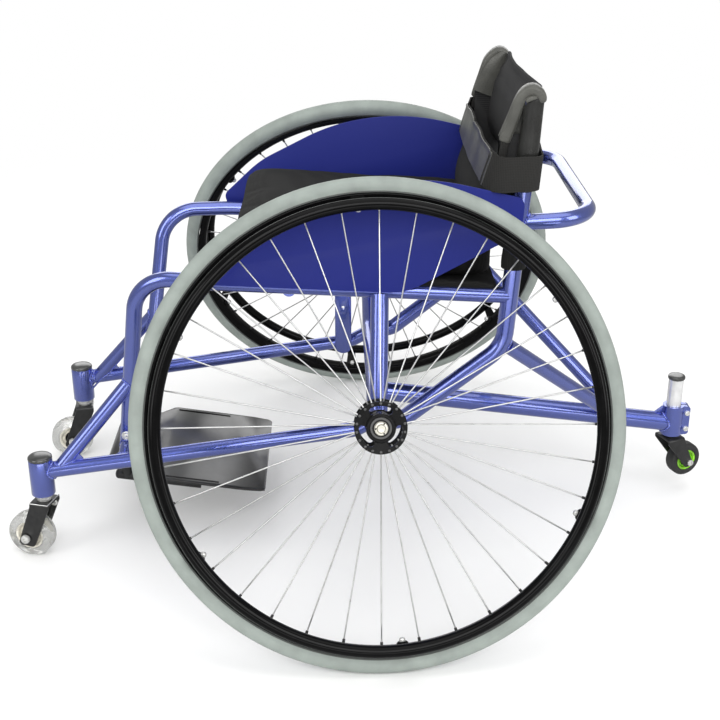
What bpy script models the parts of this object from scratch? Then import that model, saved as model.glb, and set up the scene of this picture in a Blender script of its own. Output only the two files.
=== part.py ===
"""Tennis wheelchair: a rigid tube frame with cambered spoked wheels, two front casters and
a rear anti-tip caster. Metres, +Z up, front towards -Y, the occupant's left side at +X."""

from math import atan, cos, pi, radians, sin, tan

import bmesh
import bpy
from mathutils import Matrix, Vector

# Driving dimensions. Y is measured from the wheel axles, and ORIGIN_Y moves the whole chair.
ORIGIN_Y = 0.0006
GAP = 0.0003

# Main wheels
CAMBER = radians(21.52)
HALF_TRACK = 0.344
WHEEL_RADIUS = 0.320
TYRE_TUBE = 0.0125
TYRE_RING = WHEEL_RADIUS - TYRE_TUBE
HUB_HEIGHT = TYRE_RING * cos(CAMBER) + TYRE_TUBE
RIM_OUTER = 0.298
RIM_INNER = 0.2845
RIM_HALF_WIDTH = 0.011
HANDRIM_RING = 0.2815
HANDRIM_OFFSET = 0.0406
HANDRIM_TUBE = 0.008
HANDRIM_TABS = 6
HUB_FLANGE = 0.034
OUTER_FLANGE_FACE = 0.0225
INNER_FLANGE_FACE = -0.0340
FLANGE_THICKNESS = 0.0045
HUB_BORE = 0.0143
SPOKES_PER_FLANGE = 18
WHEEL_SEGMENTS = 40

# Frame tubes
SIDE_X = 0.1745
RAIL_X = SIDE_X + 0.0012
RAIL_TUBE = 0.0110
DOWN_TUBE_TOP = Vector((0.1575, -0.3275, 0.4358))
DOWN_TUBE_FOOT = Vector((0.1165, -0.3660, 0.1550))
BACK_TUBE = 0.0122
BACK_BEND = Vector((0, 0.1785, 0.3374))
BACK_LEAN = 0.0681
BACK_TOP_Z = 0.684
BACK_WRAP = BACK_TUBE + 0.0030
CROSS_Z = 0.2284
CROSS_TUBE = 0.0125
SLEEVE_TUBE = 0.0155
AXLE_RADIUS = 0.0063
LOWER_RAIL_X = 0.167
BRACE_TUBE = 0.0104
BOOM_TUBE = 0.0150
STAY_TUBE = 0.0107
PUSH_BAR_TUBE = 0.0110
SIDES = 12

# Front casters
BARREL_X = 0.161
BARREL_Y = -0.483
BARREL_RADIUS = 0.017
BARREL_BOTTOM = 0.104
BARREL_TOP = 0.160
BARREL_BORE = 0.0128
CASTER_RADIUS = 0.034
CASTER_TRAIL = 0.0252
CASTER_HALF_WIDTH = 0.012
CASTER_TURN = {1: radians(-16.0), -1: radians(9.5)}

# Anti-tip caster
ANTITIP_Y = 0.4845
ANTITIP_TURN = radians(22.0)
ANTITIP_POST = 0.0119
CLAMP_BOTTOM = 0.1090
CLAMP_TOP = 0.1595
ANTITIP_WHEEL_RADIUS = 0.028
ANTITIP_AXLE = Vector((0.0, 0.0306, 0.0567))

# Seat, guards and footrest
CUSHION_TOP = 0.504
CUSHION_HALF_WIDTH = 0.158
GUARD_X = SIDE_X + BACK_TUBE + GAP
GUARD_THICKNESS = 0.003
PLATE_TILT = atan(0.1546)
PLATE_HEEL = Vector((0.0, -0.1650, 0.0795))
PLATE_THICKNESS = 0.0035
HANGER_X = 0.101
HANGER_TUBE = 0.0078

BLUE = (0.045, 0.065, 0.42)
GUARD_BLUE = (0.020, 0.025, 0.26)
BLACK = (0.012, 0.012, 0.013)
SOFT_BLACK = (0.030, 0.030, 0.030)
SILVER = (0.72, 0.72, 0.74)
TYRE_GREY = (0.30, 0.34, 0.32)
CLEAR_GREY = (0.62, 0.66, 0.64)
WHITE = (0.80, 0.80, 0.78)
GREEN = (0.32, 0.62, 0.06)


def rail_height(y):
    """Height of the seat rail's centre line, which falls towards the back."""
    return 0.4284 - 0.048 * (y + 0.115)


def on_down_tube(z):
    """The point of the left down tube's centre line at height z."""
    share = (z - DOWN_TUBE_FOOT.z) / (DOWN_TUBE_TOP.z - DOWN_TUBE_FOOT.z)
    return DOWN_TUBE_FOOT.lerp(DOWN_TUBE_TOP, share)


def on_axle_line(x):
    """Height of the cambered axle line at x, for the left side."""
    return HUB_HEIGHT + (x - HALF_TRACK) * tan(CAMBER)


def mirrored(points, side):
    return [Vector((side * p[0], p[1], p[2])) for p in points]


# Mesh tools


def finished_mesh(name, bm, smooth_angle=35):
    bmesh.ops.remove_doubles(bm, verts=bm.verts, dist=1e-6)
    bmesh.ops.recalc_face_normals(bm, faces=bm.faces)
    mesh = bpy.data.meshes.new(name)
    bm.to_mesh(mesh)
    bm.free()
    mesh.shade_smooth()
    mesh.set_sharp_from_angle(angle=radians(smooth_angle))
    return mesh


def skin(rings, closed=False, bm=None):
    """Bridges rings of equally many points, and fills the first and last unless closed."""
    bm = bm or bmesh.new()
    loops = [[bm.verts.new(p) for p in ring] for ring in rings]
    count = len(loops[0])
    pairs = list(zip(loops, loops[1:]))
    if closed:
        pairs.append((loops[-1], loops[0]))
    for a, b in pairs:
        for i in range(count):
            j = (i + 1) % count
            bm.faces.new((a[i], a[j], b[j], b[i]))
    if not closed:
        bm.faces.new(loops[0][::-1])
        bm.faces.new(loops[-1])
    return bm


def rounded_path(corners, radii, steps=4):
    """A polyline whose inner corners are replaced by arcs of the given radii."""
    corners = [Vector(c) for c in corners]
    path = [corners[0]]
    for before, corner, after, radius in zip(corners, corners[1:], corners[2:], radii):
        u = (before - corner).normalized()
        v = (after - corner).normalized()
        half = u.angle(v) / 2
        reach = radius / tan(half)
        centre = corner + (u + v).normalized() * (radius / sin(half))
        start = corner + u * reach - centre
        end = corner + v * reach - centre
        turn = start.angle(end)
        for k in range(steps + 1):
            t = k / steps
            spread = sin((1 - t) * turn) / sin(turn) * start + sin(t * turn) / sin(turn) * end
            path.append(centre + spread)
    path.append(corners[-1])
    return path


def tube(path, radius, sides=SIDES, domed_end=False, bm=None):
    """A round bar along a path, with flat ends or a domed last end."""
    path = [Vector(p) for p in path]
    tangents = []
    for i in range(len(path)):
        ahead = path[min(i + 1, len(path) - 1)]
        behind = path[max(i - 1, 0)]
        tangents.append((ahead - behind).normalized())
    across = tangents[0].orthogonal().normalized()
    rings = []
    for point, tangent in zip(path, tangents):
        across = (across - tangent * across.dot(tangent)).normalized()
        up = tangent.cross(across)
        ring = [
            point + radius * (cos(2 * pi * k / sides) * across + sin(2 * pi * k / sides) * up)
            for k in range(sides)
        ]
        rings.append(ring)
    if domed_end:
        tip = path[-1]
        for share in (0.35, 0.65, 0.9):
            scale = (1 - share**2) ** 0.5
            shift = tangents[-1] * radius * share * 0.7
            rings.append([tip + shift + (p - tip) * scale for p in rings[len(path) - 1]])
    return skin(rings, bm=bm)


def turned(profile, segments, bm=None):
    """A solid of revolution about Z from (height, radius) pairs, flat at both ends."""
    rings = []
    for height, radius in profile:
        angles = [2 * pi * k / segments for k in range(segments)]
        rings.append([Vector((radius * cos(a), radius * sin(a), height)) for a in angles])
    return skin(rings, bm=bm)


def turned_ring(profile, segments, bm=None):
    """A ring about Z whose closed section is given as (height, radius) pairs."""
    rings = []
    for k in range(segments):
        a = 2 * pi * k / segments
        rings.append([Vector((r * cos(a), r * sin(a), h)) for h, r in profile])
    return skin(rings, closed=True, bm=bm)


def rounded_outline(corners, radii, steps=4):
    """A closed outline in two dimensions with each corner rounded to its radius."""
    outline = []
    count = len(corners)
    for i in range(count):
        before = Vector(corners[i - 1])
        corner = Vector(corners[i])
        after = Vector(corners[(i + 1) % count])
        radius = radii[i]
        if radius == 0:
            outline.append(corner)
            continue
        u = (before - corner).normalized()
        v = (after - corner).normalized()
        half = u.angle(v) / 2
        reach = radius / tan(half)
        centre = corner + (u + v).normalized() * (radius / sin(half))
        start = corner + u * reach - centre
        end = corner + v * reach - centre
        turn = start.angle(end)
        for k in range(steps + 1):
            t = k / steps
            spread = sin((1 - t) * turn) / sin(turn) * start + sin(t * turn) / sin(turn) * end
            outline.append(centre + spread)
    return outline


def plate(outline, low, high, axis="X", bm=None):
    """An outline extruded along X (outline in Y, Z) or along Z (outline in X, Y)."""

    def placed(p, depth):
        return Vector((depth, p[0], p[1])) if axis == "X" else Vector((p[0], p[1], depth))

    return skin([[placed(p, low) for p in outline], [placed(p, high) for p in outline]], bm=bm)


def box(low, high, bm=None):
    outline = [(low[1], low[2]), (high[1], low[2]), (high[1], high[2]), (low[1], high[2])]
    return plate(outline, low[0], high[0], bm=bm)


def transform(bm, matrix):
    bmesh.ops.transform(bm, matrix=matrix, verts=bm.verts)
    return bm


# Objects


def surface(name, colour, roughness, metallic=0.0, coat=0.0):
    material = bpy.data.materials.new(name)
    material.use_nodes = True
    shader = material.node_tree.nodes["Principled BSDF"]
    shader.inputs["Base Color"].default_value = (*colour, 1.0)
    shader.inputs["Roughness"].default_value = roughness
    shader.inputs["Metallic"].default_value = metallic
    shader.inputs["Coat Weight"].default_value = coat
    return material


def add_empty(name, parent=None, matrix=None):
    empty = bpy.data.objects.new(name, None)
    bpy.context.scene.collection.objects.link(empty)
    empty.parent = parent
    if matrix is not None:
        empty.matrix_local = matrix
    return empty


def add_part(name, bm, parent, colour, roughness=0.4, metallic=0.0, coat=0.0, smooth_angle=35):
    obj = bpy.data.objects.new(name, finished_mesh(name, bm, smooth_angle))
    bpy.context.scene.collection.objects.link(obj)
    obj.parent = parent
    obj.data.materials.append(surface(name, colour, roughness, metallic, coat))
    return obj


def shape_with(obj, bm, operation, label):
    """Adds or removes a shape, kept as a hidden wire object beside the part."""
    tool = bpy.data.objects.new(f"{label}_tool_of_{obj.name}", finished_mesh(label, bm))
    bpy.context.scene.collection.objects.link(tool)
    tool.parent = obj.parent
    tool.hide_render = True
    tool.display_type = "WIRE"
    modifier = obj.modifiers.new(label, "BOOLEAN")
    modifier.operation = operation
    modifier.object = tool
    return tool


def weld(obj, bm, label):
    shape_with(obj, bm, "UNION", label)


def cut(obj, bm, label):
    shape_with(obj, bm, "DIFFERENCE", label)


# Frame routes, for the left side


def main_route():
    rear_y = 0.1836
    return rounded_path(
        [
            (RAIL_X, rear_y, rail_height(rear_y)),
            (RAIL_X - 0.001, -0.225, rail_height(-0.225)),
            DOWN_TUBE_TOP,
            DOWN_TUBE_FOOT,
        ],
        [0.20, 0.058],
    )


def back_route(extra=0.0):
    return rounded_path(
        [
            (SIDE_X, 0.0040, 0.2245),
            (SIDE_X, 0.0340, 0.2212),
            (SIDE_X, BACK_BEND.y, BACK_BEND.z),
            (SIDE_X, post_y(BACK_TOP_Z + extra), BACK_TOP_Z + extra),
        ],
        [0.03, 0.055],
    )


def cross_route():
    end_x = 0.300
    kink_x = HALF_TRACK - (HUB_HEIGHT - CROSS_Z) / tan(CAMBER)
    return rounded_path(
        [
            (-end_x, 0, on_axle_line(end_x)),
            (-kink_x, 0, CROSS_Z),
            (kink_x, 0, CROSS_Z),
            (end_x, 0, on_axle_line(end_x)),
        ],
        [0.06, 0.06],
        steps=3,
    )


def lower_rail_route():
    return rounded_path(
        [(0.1625, -0.4780, 0.1402), (LOWER_RAIL_X, -0.030, 0.2051), (LOWER_RAIL_X, -0.0035, 0.220)],
        [0.04],
        steps=3,
    )


def wheel_matrix(side):
    """Places a wheel: local Z points outboard along the axle, and local X down the wheel."""
    outboard = Vector((side * cos(CAMBER), 0, sin(CAMBER)))
    down = Vector((side * sin(CAMBER), 0, -cos(CAMBER)))
    matrix = Matrix((down, outboard.cross(down), outboard)).transposed().to_4x4()
    matrix.translation = (side * HALF_TRACK, 0, HUB_HEIGHT)
    return matrix


# Frame parts


def make_main_tube(name, side, root):
    """Seat rail and down tube in one bent tube, open at its foot for the footrest stem."""
    obj = add_part(name, tube(mirrored(main_route(), side), RAIL_TUBE), root, BLUE, 0.25, 0.6, 0.6)
    cut(obj, tube(mirrored(back_route(), side), BACK_TUBE + GAP), "back_tube_seat")
    below = on_down_tube(0.145)
    above = on_down_tube(0.205)
    cut(obj, tube(mirrored([below, above], side), HANGER_TUBE + 0.0012, 10), "stem_bore")
    cut(obj, bolt_hole(side), "bolt_hole")


def bolt_hole(side):
    """The hole for the footrest clamping bolt, through the down tube along X."""
    centre = on_down_tube(HANGER_BOLT_Z)
    ends = [centre - Vector((0.03, 0, 0)), centre + Vector((0.03, 0, 0))]
    return tube(mirrored(ends, side), HANGER_BOLT_RADIUS + GAP, 8)


def make_front_frame(name, side, root):
    """Lower rail, diagonal brace, caster barrel, gusset and the short tie to the down tube."""
    obj = add_part(
        name, tube(mirrored(lower_rail_route(), side), RAIL_TUBE), root, BLUE, 0.25, 0.6, 0.6
    )
    brace_foot = (0.1615, -0.4575, 0.1432)
    weld(obj, tube(mirrored([brace_foot, on_down_tube(0.2695)], side), BRACE_TUBE), "brace")
    tie = [on_down_tube(0.1665), (LOWER_RAIL_X, -0.3650, 0.1566)]
    weld(obj, tube(mirrored(tie, side), 0.0085, 10), "tie")
    gusset = [(-0.452, 0.150), (-0.416, 0.152), (-0.433, 0.176)]
    weld(obj, plate(gusset, side * 0.1625, side * 0.1590), "gusset")
    barrel = turned([(BARREL_BOTTOM, BARREL_RADIUS), (BARREL_TOP, BARREL_RADIUS)], 16)
    weld(obj, transform(barrel, Matrix.Translation((side * BARREL_X, BARREL_Y, 0))), "barrel")
    bore = turned([(BARREL_BOTTOM - 0.01, BARREL_BORE), (BARREL_TOP + 0.01, BARREL_BORE)], 16)
    cut(obj, transform(bore, Matrix.Translation((side * BARREL_X, BARREL_Y, 0))), "barrel_bore")
    cut(obj, tube(mirrored(main_route(), side), RAIL_TUBE + GAP), "down_tube_seat")
    cut(obj, tube(cross_route(), CROSS_TUBE + GAP), "cross_tube_seat")


def make_back_tube(name, side, root):
    """The bent tube from the axle tube up to the back post."""
    obj = add_part(name, tube(mirrored(back_route(), side), BACK_TUBE), root, BLUE, 0.25, 0.6, 0.6)
    cut(obj, tube(cross_route(), CROSS_TUBE + GAP), "cross_tube_seat")


def make_axle_carrier(root):
    """Cross tube bent up into the cambered sleeves, with the two posts to the seat rails."""
    obj = add_part("axle_carrier", tube(cross_route(), CROSS_TUBE), root, BLUE, 0.25, 0.6, 0.6)
    post_foot_x = 0.243
    for side, label in ((1, "left"), (-1, "right")):
        sleeve = turned([(-0.105, SLEEVE_TUBE), (-0.0425, SLEEVE_TUBE)], 14)
        weld(obj, transform(sleeve, wheel_matrix(side)), f"{label}_sleeve")
        foot = Vector((post_foot_x, 0.001, on_axle_line(post_foot_x)))
        top = Vector((RAIL_X, 0.004, rail_height(0.004)))
        weld(obj, tube(mirrored([foot, top], side), CROSS_TUBE), f"{label}_post")
        along = (top - foot).normalized()
        collar = [top - along * 0.0150, top - along * 0.0040]
        weld(obj, tube(mirrored(collar, side), CROSS_TUBE + 0.003, 8), f"{label}_collar")
        bore = turned([(-0.140, AXLE_RADIUS + GAP), (0.0, AXLE_RADIUS + GAP)], 12)
        cut(obj, transform(bore, wheel_matrix(side)), f"{label}_axle_bore")
        cut(obj, tube(mirrored(main_route(), side), RAIL_TUBE + GAP), f"{label}_rail_seat")
        cut(obj, guard_relief(side), f"{label}_guard_relief")


def guard_relief(side):
    """Flat on the axle post where the guard lies against it."""
    near = side * (GUARD_X - GAP)
    far = side * (GUARD_X + 0.020)
    return box((min(near, far), -0.030, 0.4190), (max(near, far), 0.040, 0.4500))


def make_rear_boom(root):
    """Boom to the anti-tip clamp, its two stays, the split clamp and the gusset on top."""
    start = [(0, 0.002, 0.222), (0, 0.010, 0.1888), (0, ANTITIP_Y - 0.010, 0.1290)]
    obj = add_part("rear_boom", tube(rounded_path(start, [0.018]), BOOM_TUBE), root, BLUE, 0.25, 0.6, 0.6)
    stay_top = (SIDE_X, 0.1765, 0.3436)
    for side, label in ((1, "left"), (-1, "right")):
        stay = mirrored([(0.010, 0.3980, 0.1385), stay_top], side)
        weld(obj, tube(stay, STAY_TUBE, 10), f"{label}_stay")
    height = CLAMP_TOP - CLAMP_BOTTOM
    middle = (CLAMP_TOP + CLAMP_BOTTOM) / 2
    clamp = turned([(CLAMP_BOTTOM, 0.0170), (CLAMP_TOP, 0.0170)], 16)
    weld(obj, transform(clamp, Matrix.Translation((0, ANTITIP_Y, 0))), "clamp")
    ears = rounded_outline(
        [
            (ANTITIP_Y + 0.010, middle - height / 2 + 0.001),
            (ANTITIP_Y + 0.0265, middle - height / 2 + 0.001),
            (ANTITIP_Y + 0.0265, middle + height / 2 - 0.001),
            (ANTITIP_Y + 0.010, middle + height / 2 - 0.001),
        ],
        [0, 0.005, 0.005, 0],
    )
    weld(obj, plate(ears, -0.0085, 0.0085), "ears")
    gusset = [(0.446, 0.140), (0.471, 0.138), (0.471, 0.1570), (0.466, 0.1570)]
    weld(obj, plate(gusset, -0.0020, 0.0020), "gusset")
    bore = turned([(CLAMP_BOTTOM - 0.01, ANTITIP_POST + GAP), (CLAMP_TOP + 0.01, ANTITIP_POST + GAP)], 16)
    cut(obj, transform(bore, Matrix.Translation((0, ANTITIP_Y, 0))), "post_bore")
    slit_low = (-0.0012, ANTITIP_Y + 0.006, CLAMP_BOTTOM - 0.01)
    cut(obj, box(slit_low, (0.0012, ANTITIP_Y + 0.04, CLAMP_TOP + 0.01)), "slit")
    for height, label in zip(CLAMP_BOLT_HEIGHTS, ("lower", "upper")):
        ends = [(-0.02, ANTITIP_Y + CLAMP_BOLT_Y, height), (0.02, ANTITIP_Y + CLAMP_BOLT_Y, height)]
        cut(obj, tube(ends, CLAMP_BOLT_RADIUS + GAP, 8), f"{label}_bolt_hole")
    cut(obj, tube(cross_route(), CROSS_TUBE + GAP), "cross_tube_seat")
    for side, label in ((1, "left"), (-1, "right")):
        cut(obj, tube(mirrored(back_route(), side), BACK_TUBE + GAP), f"{label}_post_seat")


def make_push_bar(root):
    """The U-shaped bar behind the back posts."""
    z_front = 0.5185
    z_rear = 0.5245
    front_end = 0.1908
    rear_y = 0.2945
    corners = [
        (SIDE_X, front_end, z_front),
        (SIDE_X, rear_y, z_rear),
        (-SIDE_X, rear_y, z_rear),
        (-SIDE_X, front_end, z_front),
    ]
    route = rounded_path(corners, [0.058, 0.058])
    obj = add_part("push_bar", tube(route, PUSH_BAR_TUBE), root, BLUE, 0.25, 0.6, 0.6)
    for side, label in ((1, "left"), (-1, "right")):
        cut(obj, tube(mirrored(back_route(), side), BACK_TUBE + GAP), f"{label}_post_seat")


def make_seat_cross_tube(root):
    y = -0.120
    z = rail_height(y) - 0.006
    route = [(-RAIL_X, y, z), (RAIL_X, y, z)]
    obj = add_part("seat_cross_tube", tube(route, 0.0095), root, BLUE, 0.25, 0.6, 0.6)
    for side, label in ((1, "left"), (-1, "right")):
        cut(obj, tube(mirrored(main_route(), side), RAIL_TUBE + GAP), f"{label}_rail_seat")


def make_side_strut(root):
    """Flat strut between the right lower rail and seat rail, with a rounded foot."""
    half = 0.0135
    y = -0.045
    foot = 0.189
    top = rail_height(y) + 0.004
    outline = rounded_outline(
        [(y - half, foot), (y + half, foot), (y + half, top), (y - half, top)],
        [half - 0.001, half - 0.001, 0.003, 0.003],
    )
    lean = Matrix.Shear("XY", 4, (0.0, 0.0))
    lean[0][2] = -0.032
    lean[0][3] = 0.032 * foot
    strut = transform(plate(outline, -0.1550, -0.1470), lean)
    obj = add_part("right_side_strut", strut, root, BLUE, 0.25, 0.6, 0.6)
    hole_z = 0.270
    cut(obj, tube([(-0.20, y, hole_z), (-0.10, y, hole_z)], 0.003, 8), "hole")


# Wheels


def tyre_section():
    """Eight points round the tyre tube, one of them at the contact with the floor."""
    angles = [-CAMBER + k * pi / 4 for k in range(8)]
    return [(TYRE_TUBE * sin(a), TYRE_RING + TYRE_TUBE * cos(a)) for a in angles]


def rim_section():
    w = RIM_HALF_WIDTH
    bed = TYRE_RING - TYRE_TUBE - 0.0015
    return [
        (-w, RIM_OUTER),
        (0.0, bed),
        (w, RIM_OUTER),
        (w, RIM_OUTER - 0.008),
        (0.0, RIM_INNER),
        (-w, RIM_OUTER - 0.008),
    ]


def make_handrim(name, wheel):
    """Push ring with the six tabs that stand off the rim."""
    steps = 6
    section = [
        (
            HANDRIM_OFFSET + HANDRIM_TUBE * sin(2 * pi * k / steps),
            HANDRIM_RING + HANDRIM_TUBE * cos(2 * pi * k / steps),
        )
        for k in range(steps)
    ]
    obj = add_part(name, turned_ring(section, WHEEL_SEGMENTS), wheel, BLACK, 0.15, 0.0, 1.0)
    tabs = bmesh.new()
    first_tab = radians(5.5)
    root = (0.2935, RIM_HALF_WIDTH + GAP)
    tip = (0.2845, HANDRIM_OFFSET - 0.003)
    for k in range(HANDRIM_TABS):
        rings = []
        for radius, height in (root, tip):
            corners = [(-0.0016, -0.009), (0.0016, -0.009), (0.0016, 0.009), (-0.0016, 0.009)]
            rings.append([Vector((radius + x, y, height)) for x, y in corners])
        tab = skin(rings)
        turn = Matrix.Rotation(first_tab + k * 2 * pi / HANDRIM_TABS, 4, "Z")
        piece = bpy.data.meshes.new("tab")
        transform(tab, turn).to_mesh(piece)
        tab.free()
        tabs.from_mesh(piece)
    weld(obj, tabs, "tabs")


def hub_section():
    """Flanged hub shell round a through bore, as (height, radius)."""
    outer = OUTER_FLANGE_FACE
    inner = INNER_FLANGE_FACE
    return [
        (inner - 0.005, HUB_BORE),
        (inner - 0.005, 0.0180),
        (inner, HUB_FLANGE),
        (inner + FLANGE_THICKNESS, HUB_FLANGE),
        (inner + FLANGE_THICKNESS, 0.0175),
        (outer - FLANGE_THICKNESS, 0.0175),
        (outer - FLANGE_THICKNESS, HUB_FLANGE),
        (outer, HUB_FLANGE),
        (outer, 0.0190),
        (outer + 0.0070, 0.0184),
        (outer + 0.0070, HUB_BORE),
    ]


def pull_spokes(bm):
    """Insets every other facet of each flange edge and draws it out to the rim."""
    turn = 2 * pi / (2 * SPOKES_PER_FLANGE)
    spoke_end = RIM_INNER * cos(pi / WHEEL_SEGMENTS) - 2 * GAP
    bm.faces.ensure_lookup_table()
    chosen = []
    for face in bm.faces:
        centre = face.calc_center_median()
        if min(v.co.xy.length for v in face.verts) < HUB_FLANGE - 0.0005:
            continue
        index = int((centre.xy.angle_signed(Vector((1, 0))) % (2 * pi)) / turn)
        outer_flange = centre.z > 0
        if (index % 2 == 0) == outer_flange:
            chosen.append(face)
    for face in chosen:
        bmesh.ops.inset_individual(bm, faces=[face], thickness=0.0013)
        centre = face.calc_center_median()
        direction = Vector((centre.x, centre.y, 0)).normalized()
        side = Vector((0, 0, 1)).cross(direction)
        for vertex in face.verts:
            off = vertex.co - centre
            vertex.co = centre + side * off.dot(side) * 0.70 + Vector((0, 0, off.z))
        moved = bmesh.ops.extrude_discrete_faces(bm, faces=[face])["faces"][0]
        moved.normal_update()
        reach = spoke_end / cos(turn / 2) * cos(turn / 2)
        for vertex in moved.verts:
            off = vertex.co - centre
            flat = side * off.dot(side) * 0.8 + Vector((0, 0, off.z * 0.8))
            vertex.co = direction * reach + flat + Vector((0, 0, 0.002 if centre.z > 0 else -0.002))
    return transform(bm, Matrix.Rotation(-turn / 2, 4, "Z"))


def hub_slots():
    """Three curved windows through both flanges, with rounded ends."""
    slots = bmesh.new()
    steps = 4
    middle = 0.0237
    half_width = 0.0043
    half_angle = radians(27.5)
    end_turn = half_width / middle
    for k in range(3):
        centre = radians(180 + 120 * k)
        angles = [centre - half_angle + 2 * half_angle * i / steps for i in range(steps + 1)]
        outer = [(cos(a), sin(a)) for a in angles]
        outline = [((middle + half_width) * c, (middle + half_width) * s) for c, s in outer]
        last = angles[-1] + end_turn
        outline.append((middle * cos(last), middle * sin(last)))
        outline += [((middle - half_width) * c, (middle - half_width) * s) for c, s in outer[::-1]]
        first = angles[0] - end_turn
        outline.append((middle * cos(first), middle * sin(first)))
        plate(outline, OUTER_FLANGE_FACE - 0.010, OUTER_FLANGE_FACE + 0.010, "Z", slots)
        plate(outline, INNER_FLANGE_FACE - 0.010, INNER_FLANGE_FACE + 0.010, "Z", slots)
    return slots


def make_wheel(side, label, root):
    wheel = add_empty(f"{label}_wheel", root, wheel_matrix(side))
    add_part(f"{label}_tyre", turned_ring(tyre_section(), WHEEL_SEGMENTS), wheel, TYRE_GREY, 0.75)
    add_part(
        f"{label}_rim", turned_ring(rim_section(), WHEEL_SEGMENTS), wheel, BLACK, 0.2, 0.0, 1.0
    )
    make_handrim(f"{label}_handrim", wheel)
    hub_mesh = pull_spokes(turned_ring(hub_section(), 2 * SPOKES_PER_FLANGE))
    hub = add_part(f"{label}_hub", hub_mesh, wheel, BLACK, 0.25, 0.2, 0.5)
    cut(hub, hub_slots(), "windows")
    outer_end = OUTER_FLANGE_FACE + 0.0070
    inner_end = INNER_FLANGE_FACE - 0.005
    for end, low, high in (
        ("outer", outer_end - 0.0085, outer_end - 0.0005),
        ("inner", inner_end + 0.0005, inner_end + 0.0085),
    ):
        race = [
            (low, AXLE_RADIUS + GAP),
            (low, HUB_BORE - GAP),
            (high, HUB_BORE - GAP),
            (high, AXLE_RADIUS + GAP),
        ]
        add_part(f"{label}_hub_bearing_{end}", turned_ring(race, 12), wheel, SILVER, 0.3, 1.0)
    make_axle(side, label, root, outer_end)


def make_axle(side, label, root, hub_end):
    """Quick-release axle with a recessed head, and the button that slides in it."""
    axle = add_empty(f"{label}_axle_line", root, wheel_matrix(side))
    head = hub_end + GAP
    profile = [
        (-0.130, AXLE_RADIUS - 0.0015),
        (-0.127, AXLE_RADIUS),
        (head, AXLE_RADIUS),
        (head, 0.0090),
        (head + 0.0060, 0.0084),
        (head + 0.0060, 0.0056),
        (head - 0.0080, 0.0056),
    ]
    add_part(f"{label}_axle", turned(profile, 16), axle, SILVER, 0.2, 1.0)
    button = [(head - 0.0030, 0.0052), (head + 0.0085, 0.0052), (head + 0.0095, 0.0040)]
    add_part(f"{label}_release_button", turned(button, 12), axle, SILVER, 0.25, 1.0)


# Casters


def fork_mesh(stem_radius, stem_top, crown, half_gap, thickness, side_outline):
    """A stem on a crown plate with two side plates: crown is (y low, y high, z low, z high)."""
    outer = half_gap + thickness
    crown_bm = box((-outer, crown[0], crown[2]), (outer, crown[1], crown[3]))
    stem = turned([((crown[2] + crown[3]) / 2, stem_radius), (stem_top, stem_radius)], 12)
    sides = bmesh.new()
    plate(side_outline, half_gap, outer, bm=sides)
    plate(side_outline, -outer, -half_gap, bm=sides)
    return crown_bm, stem, sides


def make_fork(name, pivot, meshes, axle_y, axle_z, axle_radius):
    crown, stem, sides = meshes
    obj = add_part(name, crown, pivot, BLACK, 0.45)
    weld(obj, sides, "side_plates")
    weld(obj, stem, "stem")
    hole = tube([(-0.04, axle_y, axle_z), (0.04, axle_y, axle_z)], axle_radius + GAP, 8)
    cut(obj, hole, "axle_hole")


def cross_axle(half_length, radius, head_radius, head_thickness):
    """A bolt along X with a domed head at both ends."""
    profile = [
        (-half_length - head_thickness, head_radius * 0.6),
        (-half_length - head_thickness * 0.5, head_radius),
        (-half_length, head_radius),
        (-half_length, radius),
        (half_length, radius),
        (half_length, head_radius),
        (half_length + head_thickness * 0.5, head_radius),
        (half_length + head_thickness, head_radius * 0.6),
    ]
    return transform(turned(profile, 8), Matrix.Rotation(pi / 2, 4, "Y"))


def small_wheel(label, parent, radius, half_width, core_radius, half_hub, axle_radius, tints):
    """Soft tyre and rigid core, turned about X. The tyre's lowest edge is a ring vertex."""
    tyre_tint, core_tint = tints
    to_x = Matrix.Rotation(pi / 2, 4, "Y")
    shoulder = half_width * 0.52
    section = [
        (-shoulder, radius),
        (shoulder, radius),
        (half_width, radius - 0.0062),
        (half_width, core_radius + GAP),
        (-half_width, core_radius + GAP),
        (-half_width, radius - 0.0062),
    ]
    add_part(f"{label}_tyre", transform(turned_ring(section, 22), to_x), parent, tyre_tint, 0.3)
    web = half_width * 0.35
    core = [
        (-half_width + 0.001, core_radius),
        (half_width - 0.001, core_radius),
        (half_width - 0.001, core_radius - 0.0035),
        (web, core_radius - 0.0045),
        (web, 0.0105),
        (half_hub, 0.0085),
        (half_hub, axle_radius + GAP),
        (-half_hub, axle_radius + GAP),
        (-half_hub, 0.0085),
        (-web, 0.0105),
        (-web, core_radius - 0.0045),
        (-half_width + 0.001, core_radius - 0.0035),
    ]
    add_part(f"{label}_core", transform(turned_ring(core, 12), to_x), parent, core_tint, 0.4)


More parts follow.
